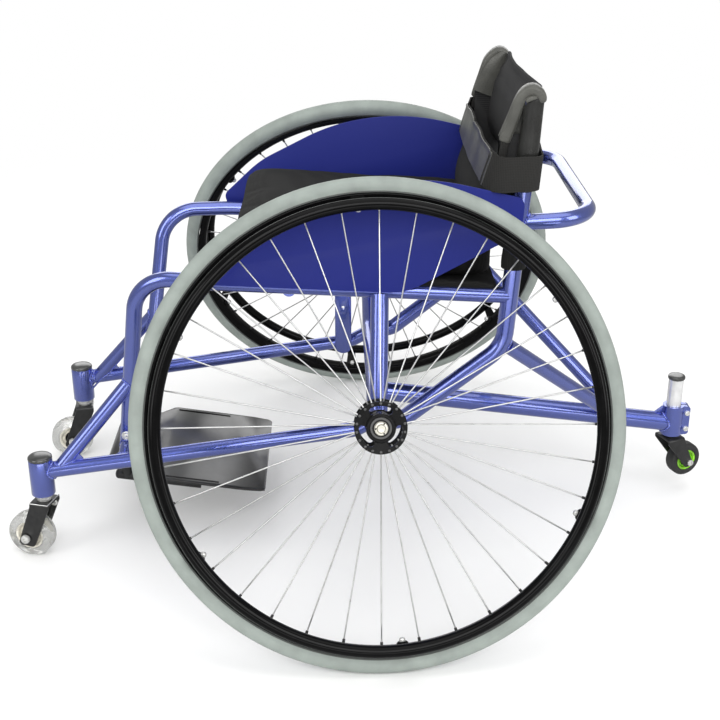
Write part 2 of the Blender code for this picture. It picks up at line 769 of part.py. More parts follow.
def make_front_caster(side, label, root):
    head_place = Matrix.Translation((side * BARREL_X, BARREL_Y, 0))
    head = add_empty(f"{label}_caster_head", root, head_place)
    swivel = Matrix.Rotation(CASTER_TURN[side], 4, "Z")
    pivot = add_empty(f"{label}_caster_pivot", root, head_place @ swivel)
    cap_profile = [
        (BARREL_TOP - 0.008, BARREL_BORE - GAP),
        (BARREL_TOP + GAP, BARREL_BORE - GAP),
        (BARREL_TOP + GAP, BARREL_RADIUS + 0.0003),
        (BARREL_TOP + 0.0035, BARREL_RADIUS),
        (BARREL_TOP + 0.0062, BARREL_RADIUS * 0.72),
        (BARREL_TOP + 0.0072, BARREL_RADIUS * 0.30),
    ]
    add_part(f"{label}_barrel_cap", turned(cap_profile, 16), head, BLACK, 0.35)
    stem_radius = 0.0060
    race = [
        (BARREL_BOTTOM - 0.0030, stem_radius + GAP),
        (BARREL_BOTTOM - 0.0030, BARREL_BORE - GAP),
        (BARREL_TOP - 0.0120, BARREL_BORE - GAP),
        (BARREL_TOP - 0.0120, stem_radius + GAP),
    ]
    add_part(f"{label}_caster_bearing", turned_ring(race, 12), head, SILVER, 0.3, 1.0)
    crown_low = 0.0895
    crown_high = 0.0935
    side_outline = rounded_outline(
        [
            (0.0140, crown_high),
            (-0.0150, crown_high),
            (-CASTER_TRAIL - 0.0130, CASTER_RADIUS - 0.0115),
            (-CASTER_TRAIL + 0.0120, CASTER_RADIUS - 0.0130),
        ],
        [0, 0, 0.005, 0.005],
        steps=2,
    )
    half_gap = 0.0155
    meshes = fork_mesh(
        stem_radius,
        BARREL_TOP - 0.011,
        (-0.0150, 0.0140, crown_low, crown_high),
        half_gap,
        0.003,
        side_outline,
    )
    make_fork(f"{label}_caster_fork", pivot, meshes, -CASTER_TRAIL, CASTER_RADIUS, 0.004)
    axle_place = Matrix.Translation((0, -CASTER_TRAIL, CASTER_RADIUS))
    wheel = add_empty(f"{label}_caster_wheel", pivot, axle_place)
    small_wheel(
        f"{label}_caster",
        wheel,
        CASTER_RADIUS,
        CASTER_HALF_WIDTH,
        0.0215,
        half_gap - GAP,
        0.004,
        (CLEAR_GREY, WHITE),
    )
    bolt = cross_axle(half_gap + 0.003 + GAP, 0.004, 0.0062, 0.0070)
    add_part(f"{label}_caster_axle", bolt, wheel, SILVER, 0.25, 1.0)


CLAMP_BOLT_HEIGHTS = (0.1205, 0.1480)
CLAMP_BOLT_Y = 0.0212
CLAMP_BOLT_RADIUS = 0.0025
HANGER_BOLT_Z = 0.1805
HANGER_BOLT_RADIUS = 0.0030


def make_antitip(root):
    stem_place = Matrix.Translation((0, ANTITIP_Y, 0))
    stem = add_empty("antitip_stem", root, stem_place)
    swivel = Matrix.Rotation(ANTITIP_TURN, 4, "Z")
    pivot = add_empty("antitip_pivot", root, stem_place @ swivel)
    bottom = 0.1060
    top = 0.2050
    stem_radius = 0.0060
    post = [
        (bottom + 0.050, stem_radius + GAP),
        (bottom, stem_radius + GAP),
        (bottom, ANTITIP_POST),
        (top, ANTITIP_POST),
    ]
    add_part("antitip_post", turned(post, 16), stem, SILVER, 0.08, 1.0)
    cap = [
        (top + GAP, 0.0132),
        (top + 0.0040, 0.0138),
        (top + 0.0060, 0.0128),
        (top + 0.0066, 0.0090),
    ]
    add_part("antitip_post_cap", turned(cap, 16), stem, BLACK, 0.4)
    crown_low = 0.1005
    crown_high = 0.1045
    side_outline = rounded_outline(
        [
            (-0.0150, crown_high),
            (-0.0150, crown_high - 0.008),
            (ANTITIP_AXLE.y - 0.0080, ANTITIP_AXLE.z - 0.0070),
            (ANTITIP_AXLE.y + 0.0085, ANTITIP_AXLE.z - 0.0085),
            (0.0155, crown_high),
        ],
        [0, 0.003, 0.007, 0.0075, 0],
        steps=2,
    )
    half_gap = 0.0170
    meshes = fork_mesh(
        stem_radius,
        bottom + 0.047,
        (-0.0150, 0.0155, crown_low, crown_high),
        half_gap,
        0.003,
        side_outline,
    )
    make_fork("antitip_fork", pivot, meshes, ANTITIP_AXLE.y, ANTITIP_AXLE.z, 0.0035)
    wheel = add_empty("antitip_wheel", pivot, Matrix.Translation(ANTITIP_AXLE))
    small_wheel(
        "antitip",
        wheel,
        ANTITIP_WHEEL_RADIUS,
        0.0115,
        0.0175,
        half_gap - GAP,
        0.0035,
        (BLACK, GREEN),
    )
    bolt = cross_axle(half_gap + 0.003 + GAP, 0.0035, 0.0053, 0.0035)
    add_part("antitip_axle", bolt, wheel, SILVER, 0.25, 1.0)
    for height, label in zip(CLAMP_BOLT_HEIGHTS, ("lower", "upper")):
        bolt = cross_axle(0.0085 + GAP, CLAMP_BOLT_RADIUS, 0.0045, 0.0035)
        place = Matrix.Translation((0, ANTITIP_Y + CLAMP_BOLT_Y, height))
        add_part(f"clamp_bolt_{label}", transform(bolt, place), root, SILVER, 0.25, 1.0)


# Guards, footrest and soft parts


def make_guard(side, label, root):
    """Side guard plate with a curved top edge and a lip turned inwards at the front."""
    corners = [
        (-0.2300, 0.4352),
        (-0.2350, 0.4530),
        (-0.1770, 0.5080),
        (-0.0640, 0.5665),
        (0.0500, 0.5880),
        (0.1960, 0.5560),
        (0.1930, 0.5050),
        (0.1600, 0.4900),
        (0.0380, 0.4225),
    ]
    rounding = [0.004, 0.012, 0.16, 0.30, 0.34, 0.014, 0.010, 0.06, 0.09]
    outline = rounded_outline(corners, rounding, steps=5)
    low = side * GUARD_X
    high = side * (GUARD_X + GUARD_THICKNESS)
    add_part(f"{label}_guard", plate(outline, low, high), root, GUARD_BLUE, 0.12, 0.0, 1.0)


def make_footplate(root):
    """Tilted plate with a narrower toe, a heel flange and a long slot along each side."""
    holder = add_empty("footplate_plane", root, Matrix.Translation(PLATE_HEEL))
    holder.rotation_euler = (-PLATE_TILT, 0, 0)
    stretch = 1 / cos(PLATE_TILT)
    half = [(0.118, 0.0), (0.122, -0.030), (0.122, -0.159), (0.086, -0.187), (0.076, -0.238)]
    corners = [(x, y * stretch) for x, y in half] + [(-x, y * stretch) for x, y in half[::-1]]
    rounding = [0.010, 0.02, 0.012, 0.02, 0.012]
    outline = rounded_outline(corners, rounding + rounding[::-1], steps=3)
    body = plate(outline, -PLATE_THICKNESS, 0.0, "Z")
    obj = add_part("footplate", body, holder, BLACK, 0.12, 0.0, 1.0)
    flange = box((-0.104, -0.0035, -0.0120), (0.104, -0.0004, -0.0005))
    weld(obj, flange, "heel_flange")
    slots = bmesh.new()
    slot_x = 0.1125
    slot_half = 0.0026
    for side in (1, -1):
        ends = [(-0.156, -slot_half), (-0.156, slot_half), (-0.070, slot_half), (-0.070, -slot_half)]
        slot = rounded_outline([(side * slot_x + x, y) for y, x in ends], [slot_half * 0.95] * 4, 2)
        plate(slot, -0.02, 0.02, "Z", slots)
    cut(obj, slots, "slots")


def hanger_height(y):
    """Centre of the footrest tube, which lies under the tilted plate."""
    drop = PLATE_THICKNESS / cos(PLATE_TILT) + HANGER_TUBE / cos(PLATE_TILT) + GAP
    return PLATE_HEEL.z + (PLATE_HEEL.y - y) * tan(PLATE_TILT) - drop


def make_hanger(side, label, root):
    """Footrest stem in the down tube, bent onto a tube that runs under the plate."""
    rear_y = -0.262
    front_y = -0.384
    joint_y = -0.372
    run = [(HANGER_X, rear_y, hanger_height(rear_y)), (HANGER_X, front_y, hanger_height(front_y))]
    run_mesh = tube(mirrored(run, side), HANGER_TUBE, 10, domed_end=True)
    obj = add_part(f"{label}_footrest_hanger", run_mesh, root, BLACK, 0.4)
    elbow = on_down_tube(0.1240)
    joint = (HANGER_X, joint_y, hanger_height(joint_y))
    stem = rounded_path([joint, elbow, on_down_tube(0.2000)], [0.02], steps=3)
    weld(obj, tube(mirrored(stem, side), HANGER_TUBE, 10), "stem")
    cut(obj, bolt_hole(side), "bolt_hole")
    bolt = cross_axle(RAIL_TUBE + 0.0012, HANGER_BOLT_RADIUS, 0.0066, 0.0040)
    centre = on_down_tube(HANGER_BOLT_Z)
    place = Matrix.Translation((side * centre.x, centre.y, centre.z))
    add_part(f"{label}_hanger_bolt", transform(bolt, place), root, SILVER, 0.2, 1.0)


def make_seat(root):
    """Sling on the rails, and the cushion on it."""
    half_width = RAIL_X + 0.004
    front = -0.195
    rear = 0.1660
    rings = []
    steps = 8
    for k in range(6):
        y = front + (rear - front) * k / 5
        top = rail_height(y) + RAIL_TUBE + GAP
        xs = [-half_width + 2 * half_width * i / steps for i in range(steps + 1)]
        sag = [0.004 * (1 - (x / half_width) ** 2) for x in xs]
        upper = [Vector((x, y, top + 0.003 - s)) for x, s in zip(xs, sag)]
        lower = [Vector((x, y, top - s)) for x, s in zip(xs, sag)]
        rings.append(upper + lower[::-1])
    add_part("seat_sling", skin(rings), root, SOFT_BLACK, 0.8)
    bm = bmesh.new()
    bmesh.ops.create_cube(bm, size=2.0)
    bmesh.ops.subdivide_edges(bm, edges=bm.edges, cuts=6, use_grid_fill=True)
    front = -0.200
    rear = 0.172
    mid_y = (front + rear) / 2
    half_depth = (rear - front) / 2
    for vertex in bm.verts:
        vertex.co = cushion_point(vertex.co, half_depth, mid_y)
    add_part("seat_cushion", bm, root, SOFT_BLACK, 0.85, smooth_angle=80)


def cushion_point(unit, half_depth, mid_y):
    """Maps a point of a unit cube onto the cushion: crowned top, drawn-in sides, soft edges."""
    x, y, z = unit
    base = rail_height(mid_y + y * half_depth) + RAIL_TUBE + 0.0040
    top = CUSHION_TOP - 0.010 * y
    edge = 0.016
    draw = 0.006 * (1 - z * z)
    reach = (1 - abs(z) ** 6 * 0.055, 1 - abs(z) ** 6 * 0.045)
    sx = x * (CUSHION_HALF_WIDTH - draw * (1 - y * y)) * reach[0]
    sy = y * (half_depth - draw * (1 - x * x)) * reach[1]
    corner = (x * x * y * y) ** 3 * 0.012
    sx -= corner * x
    sy -= corner * y
    fall = edge * 0.55 * max(abs(x), abs(y)) ** 7
    if z > 0:
        crown = 0.004 * (1 - x * x) * (1 - y * y)
        height = base + (top - base) * (0.5 + z / 2) + (crown - fall) * z
    else:
        height = base + (top - base) * (0.5 + z / 2) + fall * 0.35 * -z
    return Vector((sx, mid_y + sy, height))


def back_plan(post, wrap, sag):
    """Half of the sling's plan line, from the hook round the left post to the middle."""
    points = []
    for k in range(7):
        a = radians(-60 + 250 * k / 6)
        points.append(Vector((SIDE_X + wrap * sin(a), post - wrap * cos(a), 0)))
    inner = SIDE_X - 0.026
    for k in range(1, 5):
        x = inner * (1 - k / 4)
        points.append(Vector((x, post + wrap * 0.55 + sag * (1 - (x / inner) ** 2), 0)))
    return points


def thick_line(line, thickness, closed=False):
    """Offsets a plan line to both sides, as (outer, inner) lists of points."""
    count = len(line)
    outer = []
    inner = []
    for i, point in enumerate(line):
        ahead = line[(i + 1) % count] if closed else line[min(i + 1, count - 1)]
        behind = line[i - 1] if closed else line[max(i - 1, 0)]
        along = (ahead - behind).normalized()
        normal = Vector((along.y, -along.x, 0))
        outer.append(point + normal * thickness / 2)
        inner.append(point - normal * thickness / 2)
    return outer, inner


def full_line(half, z):
    """Mirrors a half plan line and lifts it to height z."""
    left = [Vector((p.x, p.y, z)) for p in half]
    right = [Vector((-p.x, p.y, z)) for p in half[-2::-1]]
    return left + right


def post_y(z):
    """The back post's centre line at height z."""
    return BACK_BEND.y + (z - BACK_BEND.z) * BACK_LEAN


def front_y(z):
    """The face of the lower front panel, which leans forward towards its foot."""
    return 0.1560 + (z - 0.607) * 0.295


def far_drop(x):
    """The upholstery's top edge sits lower at the right post than at the left."""
    return 0.011 * min(1.0, max(0.0, (-x - 0.10) / 0.05))


def back_rings(heights, sag, bulge=0.0):
    """Rings of the upholstery hooked round both posts, from the lowest height to the top."""
    rings = []
    for height in heights:
        share = (height - heights[0]) / (heights[-1] - heights[0])
        plan = back_plan(post_y(height), BACK_WRAP, sag + bulge * sin(pi * share))
        outer, inner = thick_line(full_line(plan, height), 0.0040)
        ring = outer + inner[::-1]
        if bulge:
            ring = [p - Vector((0, 0, share * far_drop(p.x))) for p in ring]
        rings.append(ring)
    return rings


def make_back(root):
    """Upholstery round both posts with its straps, its lower flap, the band and the front panel."""
    upper = skin(back_rings((0.560, 0.636, 0.696), 0.010, 0.004))
    sling = add_part("back_upholstery", upper, root, SOFT_BLACK, 0.6, smooth_angle=60)
    weld(sling, skin(back_rings((0.455, 0.489), 0.010)), "lower_wrap")
    flap = []
    for height in (0.487, 0.563):
        plan = back_plan(post_y(height), BACK_WRAP, 0.010)
        half = [plan[6].lerp(plan[7], 0.4)] + plan[7:]
        outer, inner = thick_line(full_line(half, height), 0.0030)
        flap.append(outer + inner[::-1])
    weld(sling, skin(flap), "flap")
    for side, label, drop in ((1, "left", 0.0), (-1, "right", 0.0115)):
        cap = [(0.678, 0.0172), (0.7005, 0.0168), (0.7055, 0.0130), (0.7070, 0.0060)]
        place = Matrix.Translation((side * SIDE_X, post_y(0.69), -drop))
        weld(sling, transform(turned(cap, 10), place), f"{label}_top")
        corners = [(0.203, 0.688), (0.198, 0.7040), (0.1820, 0.7035), (0.1530, 0.6190), (0.1700, 0.6140)]
        strap = rounded_outline(
            [(y, z - drop * (z - 0.6140) / 0.09) for y, z in corners],
            [0, 0.004, 0.008, 0.004, 0.004],
            steps=2,
        )
        weld(sling, plate(strap, side * 0.1600, side * 0.1680), f"{label}_strap")
        space = tube(mirrored(back_route(0.0010), side), BACK_TUBE + 0.0006)
        cut(sling, space, f"{label}_post_space")
    make_back_band(root)
    make_front_panel(root)


def make_back_band(root):
    """Elastic band that passes round both posts and across the front."""
    rings = []
    for z in (0.5675, 0.5895, 0.6115):
        reach = BACK_TUBE + 0.0030 + 0.0020 + 0.0018 + GAP
        post = post_y(z)
        half = [Vector((0, front_y(z) - 0.0030, 0)), Vector((0.150, front_y(z) - 0.0020, 0))]
        half.append(Vector((SIDE_X + reach * 0.45, front_y(z) + 0.0010, 0)))
        half.append(Vector((SIDE_X + reach * 0.92, front_y(z) + 0.0110, 0)))
        for k in range(4):
            a = radians(80 + 100 * k / 3)
            half.append(Vector((SIDE_X + reach * sin(a), post - reach * cos(a), 0)))
        for x in (0.120, 0.060, 0.0):
            half.append(Vector((x, post + reach + 0.009 * (1 - (x / 0.165) ** 2), 0)))
        left = [Vector((p.x, p.y, z)) for p in half]
        right = [Vector((-p.x, p.y, z)) for p in half[-2:0:-1]]
        outer, inner = thick_line(left + right, 0.0030, closed=True)
        rings.append((outer, inner))
    bm = bmesh.new()
    section = [outer for outer, _ in rings] + [inner for _, inner in rings[::-1]]
    skin(section, closed=True, bm=bm)
    add_part("back_band", bm, root, SOFT_BLACK, 0.9, smooth_angle=60)


def make_front_panel(root):
    """Padded sheet across the front, with a crowned face and a slightly uneven top edge."""
    rings = []
    steps = 10
    half_width = 0.166
    for k in range(steps + 1):
        x = -half_width + 2 * half_width * k / steps
        crown = 0.004 * (1 - (x / half_width) ** 2)
        top = 0.607 + 0.003 * sin(9 * x / half_width)
        faces = []
        backs = []
        for share in (0.0, 0.2, 0.5, 0.8, 1.0):
            z = 0.5135 + (top - 0.5135) * share
            below_band = max(0.0, 1 - share / 0.5)
            swell = (0.0040 + crown) * below_band
            faces.append(Vector((x, front_y(z) + 0.0018 - swell, z)))
            backs.append(Vector((x, front_y(z) + 0.0070, z)))
        rings.append(faces + backs[::-1])
    add_part("back_front_panel", skin(rings), root, SOFT_BLACK, 0.7, smooth_angle=60)


def clear_scene():
    for obj in list(bpy.data.objects):
        bpy.data.objects.remove(obj, do_unlink=True)


def main():
    clear_scene()
    root = add_empty("wheelchair", matrix=Matrix.Translation((0, ORIGIN_Y, 0)))
    make_axle_carrier(root)
    make_rear_boom(root)
    make_push_bar(root)
    make_seat_cross_tube(root)
    make_side_strut(root)
    make_footplate(root)
    make_seat(root)
    make_back(root)
    make_antitip(root)
    for side, label in ((1, "left"), (-1, "right")):
        make_main_tube(f"{label}_main_tube", side, root)
        make_front_frame(f"{label}_front_frame", side, root)
        make_back_tube(f"{label}_back_tube", side, root)
        make_wheel(side, label, root)
        make_front_caster(side, label, root)
        make_guard(side, label, root)
        make_hanger(side, label, root)
    bpy.context.view_layer.update()


main()
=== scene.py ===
"""Looks of the tennis wheelchair: finishes for the frame, and modelled wheels and soft parts."""
from math import atan, cos, pi, radians, sin, sqrt, tan

import bmesh
import bpy
from mathutils import Matrix, Vector, noise
from mathutils.bvhtree import BVHTree


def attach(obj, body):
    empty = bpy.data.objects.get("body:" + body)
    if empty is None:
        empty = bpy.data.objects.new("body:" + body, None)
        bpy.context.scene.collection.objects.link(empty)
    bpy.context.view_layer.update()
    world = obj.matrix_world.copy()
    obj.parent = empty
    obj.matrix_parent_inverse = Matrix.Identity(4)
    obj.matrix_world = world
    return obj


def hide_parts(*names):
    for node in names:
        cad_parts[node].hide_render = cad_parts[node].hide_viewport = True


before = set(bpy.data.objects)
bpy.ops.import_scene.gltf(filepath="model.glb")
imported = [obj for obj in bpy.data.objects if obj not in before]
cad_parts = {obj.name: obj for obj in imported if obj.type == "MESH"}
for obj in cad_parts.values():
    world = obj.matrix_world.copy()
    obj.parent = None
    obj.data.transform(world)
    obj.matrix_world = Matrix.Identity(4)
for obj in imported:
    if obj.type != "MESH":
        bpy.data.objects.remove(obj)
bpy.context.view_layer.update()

# The same driving dimensions as the construction, in metres, with Y from the wheel axles
ORIGIN_Y = 0.0006
GAP = 0.0003
CAMBER = radians(21.52)
HALF_TRACK = 0.344
TYRE_TUBE = 0.0125
TYRE_RING = 0.3075
HUB_HEIGHT = TYRE_RING * cos(CAMBER) + TYRE_TUBE
RIM_INNER = 0.2845
RIM_HALF_WIDTH = 0.011
HANDRIM_RING = 0.2815
HANDRIM_OFFSET = 0.0406
HANDRIM_TUBE = 0.008
HANDRIM_TABS = 6
FIRST_TAB = radians(5.5)
OUTER_FLANGE = 0.0225
INNER_FLANGE = -0.0340
FLANGE_THICKNESS = 0.0045
HUB_BORE = 0.0143
AXLE_RADIUS = 0.0063
SPOKES_PER_FLANGE = 18
SPOKE_CIRCLE = 0.0295
HUB_OUTER_END = OUTER_FLANGE + 0.0070
SIDE_X = 0.1745
RAIL_LEVEL = 0.4284
RAIL_LEVEL_Y = -0.115
RAIL_FALL = 0.048
RAIL_X = SIDE_X + 0.0012
RAIL_TUBE = 0.0110
DOWN_TUBE_TOP = Vector((0.1575, -0.3275, 0.4358))
DOWN_TUBE_FOOT = Vector((0.1165, -0.3660, 0.1550))
BACK_TUBE = 0.0122
BACK_BEND = Vector((0, 0.1785, 0.3374))
BACK_LEAN = 0.0681
BACK_TOP_Z = 0.684
BACK_WRAP = BACK_TUBE + 0.0030
CROSS_Z = 0.2284
CROSS_TUBE = 0.0125
SLEEVE_TUBE = 0.0155
SLEEVE_END = -0.1050
LOWER_RAIL_X = 0.167
BRACE_TUBE = 0.0104
TIE_TUBE = 0.0085
SEAT_TUBE = 0.0095
BOOM_TUBE = 0.0150
STAY_TUBE = 0.0107
PUSH_BAR_TUBE = 0.0110
BARREL_X = 0.161
BARREL_Y = -0.483
BARREL_RADIUS = 0.017
BARREL_BOTTOM = 0.104
BARREL_TOP = 0.160
BARREL_BORE = 0.0128
CASTER_RADIUS = 0.034
CASTER_TRAIL = 0.0252
CASTER_HALF_WIDTH = 0.012
CASTER_HALF_GAP = 0.0155
CASTER_TURN = {1: radians(-16.0), -1: radians(9.5)}
ANTITIP_Y = 0.4845
ANTITIP_TURN = radians(22.0)
ANTITIP_POST = 0.0119
ANTITIP_POST_FOOT = 0.1060
ANTITIP_POST_TOP = 0.2050
ANTITIP_HALF_GAP = 0.0170
ANTITIP_AXLE = Vector((0.0, 0.0306, 0.0567))
FORK_PLATE = 0.003
FORK_CORNER = 0.0040
STEM_RADIUS = 0.0060
BEARING_SHARE = 0.58
CLAMP_BOTTOM = 0.1090
CLAMP_TOP = 0.1595
CLAMP_BOLT_HEIGHTS = (0.1205, 0.1480)
CLAMP_BOLT_Y = 0.0212
GUARD_X = SIDE_X + BACK_TUBE + GAP
GUARD_THICKNESS = 0.003
CUSHION_TOP = 0.504
CUSHION_HALF_WIDTH = 0.158
PLATE_TILT = atan(0.1546)
PLATE_HEEL = Vector((0.0, -0.1650, 0.0795))
PLATE_THICKNESS = 0.0035
HANGER_X = 0.101
HANGER_TUBE = 0.0078
HANGER_BOLT_Z = 0.1805
SIDES = ((1, "left"), (-1, "right"))

# Turns a shape made about Z to lie along X
ALONG_X = Matrix.Rotation(pi / 2, 4, "Y")

# The upholstery: its drop at the right post, the plane of its face, and half widths
FAR_DROP = 0.011
FAR_START = 0.10
FAR_REACH = 0.05
FACE_Y = 0.1560
FACE_Z = 0.607
FACE_LEAN = 0.295
FLAP_HALF = 0.1485
FLAP_STEPS = [FLAP_HALF * (1 - i / 8) for i in range(9)]
STRIP_HALF = 0.1630

# The room: the world's strength for surfaces and for reflections, and the floor's tones and reach
WORLD_DIFFUSE = 0.66
WORLD_GLOSSY = 0.36
FLOOR_TONES = ((0.925, 0.925, 0.918), (0.935, 0.935, 0.928))
FLOOR_IN_REFLECTIONS = (0.45, 0.45, 0.45, 1)
FLOOR_RINGS = (0.02, 0.8, 1.6, 2.4, 3.2)
FLOOR_LEVEL = -0.0003
FLOOR_FADE = (0.9, 2.4)

# The camera stands where the photograph was taken from
CAMERA_PLACE = Vector((1.769, -0.053 + ORIGIN_Y, 1.017))
CAMERA_YAW = radians(4.10)
CAMERA_PITCH = radians(23.65)
CAMERA_ROLL = radians(1.26)
CAMERA_LENS = 62.0
CAMERA_SHIFT = -0.0833


def rail_height(y):
    """Height of the seat rail's centre line."""
    return RAIL_LEVEL - RAIL_FALL * (y - RAIL_LEVEL_Y)


def on_down_tube(z):
    share = (z - DOWN_TUBE_FOOT.z) / (DOWN_TUBE_TOP.z - DOWN_TUBE_FOOT.z)
    return DOWN_TUBE_FOOT.lerp(DOWN_TUBE_TOP, share)


def on_axle_line(x):
    return HUB_HEIGHT + (x - HALF_TRACK) * tan(CAMBER)


def post_y(z):
    """The back post's centre line at height z."""
    return BACK_BEND.y + (z - BACK_BEND.z) * BACK_LEAN


def front_y(z):
    """The face of the strip across the front of the back, which leans forward at its foot."""
    return FACE_Y + (z - FACE_Z) * FACE_LEAN


def far_drop(x):
    """The upholstery's top edge sits lower at the right post."""
    return FAR_DROP * min(1.0, max(0.0, (-x - FAR_START) / FAR_REACH))


def side_drop(side):
    """How much lower the upholstery sits at one post."""
    return FAR_DROP if side < 0 else 0.0


def mirrored(points, side):
    return [Vector((side * p[0], p[1], p[2])) for p in points]


def spread(low, high, steps):
    """Even steps from a low to a high value, with both ends."""
    return [low + (high - low) * k / steps for k in range(steps + 1)]


def shares(steps):
    """Even steps from 0 to 1, with both ends."""
    return [k / steps for k in range(steps + 1)]


# Node tools


def new_material(name):
    material = bpy.data.materials.new(name)
    material.use_nodes = True
    return material, material.node_tree, material.node_tree.nodes["Principled BSDF"]


def coordinates(tree):
    """Object coordinates, which are the chair's own metres for every piece."""
    return tree.nodes.new("ShaderNodeTexCoord").outputs["Object"]


def noise_value(tree, scale, detail=3.0, stretch=(1, 1, 1)):
    mapping = tree.nodes.new("ShaderNodeMapping")
    mapping.inputs["Scale"].default_value = stretch
    tree.links.new(coordinates(tree), mapping.inputs["Vector"])
    texture = tree.nodes.new("ShaderNodeTexNoise")
    texture.inputs["Scale"].default_value = scale
    texture.inputs["Detail"].default_value = detail
    tree.links.new(mapping.outputs["Vector"], texture.inputs["Vector"])
    return texture.outputs["Fac"]


def ramp(tree, value, low, high, start=0.35, end=0.65):
    """Colours or greys between two tones, driven by a value."""
    node = tree.nodes.new("ShaderNodeValToRGB")
    node.color_ramp.elements[0].position = start
    node.color_ramp.elements[1].position = end
    node.color_ramp.elements[0].color = (*low, 1)
    node.color_ramp.elements[1].color = (*high, 1)
    tree.links.new(value, node.inputs["Fac"])
    return node.outputs["Color"]


def span(tree, value, low, high):
    node = tree.nodes.new("ShaderNodeMapRange")
    node.inputs["To Min"].default_value = low
    node.inputs["To Max"].default_value = high
    tree.links.new(value, node.inputs["Value"])
    return node.outputs["Result"]


def bump(tree, shader, height, strength, distance):
    node = tree.nodes.new("ShaderNodeBump")
    node.inputs["Strength"].default_value = strength
    node.inputs["Distance"].default_value = distance
    tree.links.new(height, node.inputs["Height"])
    tree.links.new(node.outputs["Normal"], shader.inputs["Normal"])


def tint(colour, factor):
    return tuple(min(1.0, c * factor) for c in colour)


def mottle(tree, shader, colour, low, high, scale, detail=3.0, stretch=(1, 1, 1), ends=(0.35, 0.65)):
    """Base colour that noise varies between two tints."""
    value = noise_value(tree, scale, detail, stretch)
    tones = ramp(tree, value, tint(colour, low), tint(colour, high), *ends)
    tree.links.new(tones, shader.inputs["Base Color"])


def roughen(tree, shader, low, high, scale, detail=3.0, stretch=(1, 1, 1)):
    """Roughness that noise varies between two values."""
    value = noise_value(tree, scale, detail, stretch)
    tree.links.new(span(tree, value, low, high), shader.inputs["Roughness"])


def set_sockets(shader, values):
    for name, value in values.items():
        shader.inputs[name].default_value = value


# Materials


def paint(name, colour, metallic, roughness, flake, coat=1.0, specular=0.5, coat_ior=1.5):
    """Glossy clear-coated paint with fine metal flake and a little orange peel."""
    material, tree, shader = new_material(name)
    mottle(tree, shader, colour, 0.82, 1 + flake, 2600, 1.0, ends=(0.40, 0.72))
    roughen(tree, shader, roughness - 0.03, roughness + 0.05, 35)
    set_sockets(shader, {"Metallic": metallic, "Specular IOR Level": specular})
    set_sockets(shader, {"Coat Weight": coat, "Coat Roughness": 0.05, "Coat IOR": coat_ior})
    bump(tree, shader, noise_value(tree, 240, 2.0), 0.05, 0.0004)
    return material


def gloss(name, colour, roughness=0.22, coat=0.6, specular=0.5):
    """Smooth plastic, rubber or lacquer, slightly uneven in tone and gloss."""
    material, tree, shader = new_material(name)
    mottle(tree, shader, colour, 0.8, 1.4, 60)
    roughen(tree, shader, roughness - 0.05, roughness + 0.07, 90)
    set_sockets(shader, {"Coat Weight": coat, "Coat Roughness": roughness * 0.6})
    set_sockets(shader, {"Specular IOR Level": specular})
    bump(tree, shader, noise_value(tree, 300, 2.0), 0.03, 0.0003)
    return material


def satin(name, colour, roughness=0.42):
    """Fine-grained coating with a low gloss."""
    material, tree, shader = new_material(name)
    mottle(tree, shader, colour, 0.75, 1.3, 120)
    roughen(tree, shader, roughness - 0.06, roughness + 0.08, 200)
    bump(tree, shader, noise_value(tree, 900, 2.0), 0.10, 0.0003)
    return material


def metal(name, colour, roughness, metallic=1.0):
    material, tree, shader = new_material(name)
    mottle(tree, shader, colour, 0.9, 1.05, 70, 4.0)
    roughen(tree, shader, roughness - 0.04, roughness + 0.08, 160)
    set_sockets(shader, {"Metallic": metallic})
    bump(tree, shader, noise_value(tree, 800, 2.0), 0.04, 0.0002)
    return material


def rubber(name, colour, roughness=0.55):
    """Court tyre rubber: fine scuffs and dust, and a soft matt sheen."""
    material, tree, shader = new_material(name)
    mottle(tree, shader, colour, 0.88, 1.12, 34, 6.0, ends=(0.30, 0.70))
    roughen(tree, shader, roughness - 0.07, roughness + 0.11, 110, 4.0)
    bump(tree, shader, noise_value(tree, 700, 4.0), 0.16, 0.0005)
    return material


def leatherette(name, colour, roughness=0.42):
    """Coated cloth: a fine pebble grain with creases and a low sheen."""
    material, tree, shader = new_material(name)
    grain = tree.nodes.new("ShaderNodeTexVoronoi")
    grain.inputs["Scale"].default_value = 620
    tree.links.new(coordinates(tree), grain.inputs["Vector"])
    mottle(tree, shader, colour, 0.75, 1.35, 26, 5.0, ends=(0.3, 0.7))
    roughen(tree, shader, roughness - 0.07, roughness + 0.12, 40, 4.0)
    set_sockets(shader, {"Specular IOR Level": 0.35})
    bump(tree, shader, grain.outputs["Distance"], 0.35, 0.0006)
    return material


def woven(name, colour, pitch, roughness=0.85, across="X"):
    """Plain-woven cloth, mesh or webbing: two crossed thread directions at a real pitch."""
    material, tree, shader = new_material(name)
    place = coordinates(tree)
    crossed = tree.nodes.new("ShaderNodeMath")
    crossed.operation = "MAXIMUM"
    threads = {"Scale": 1 / (pitch * 6.283), "Distortion": 0.6, "Detail": 1.0, "Detail Scale": 4.0}
    for socket, direction in zip(crossed.inputs, (across, "Z")):
        wave = tree.nodes.new("ShaderNodeTexWave")
        wave.bands_direction = direction
        set_sockets(wave, threads)
        tree.links.new(place, wave.inputs["Vector"])
        tree.links.new(wave.outputs["Fac"], socket)
    shade = ramp(tree, crossed.outputs[0], tint(colour, 0.62), tint(colour, 1.22), 0.2, 0.9)
    tree.links.new(shade, shader.inputs["Base Color"])
    set_sockets(shader, {"Roughness": roughness, "Specular IOR Level": 0.12, "Sheen Weight": 0.02})
    bump(tree, shader, crossed.outputs[0], 0.30, pitch * 0.5)
    return material


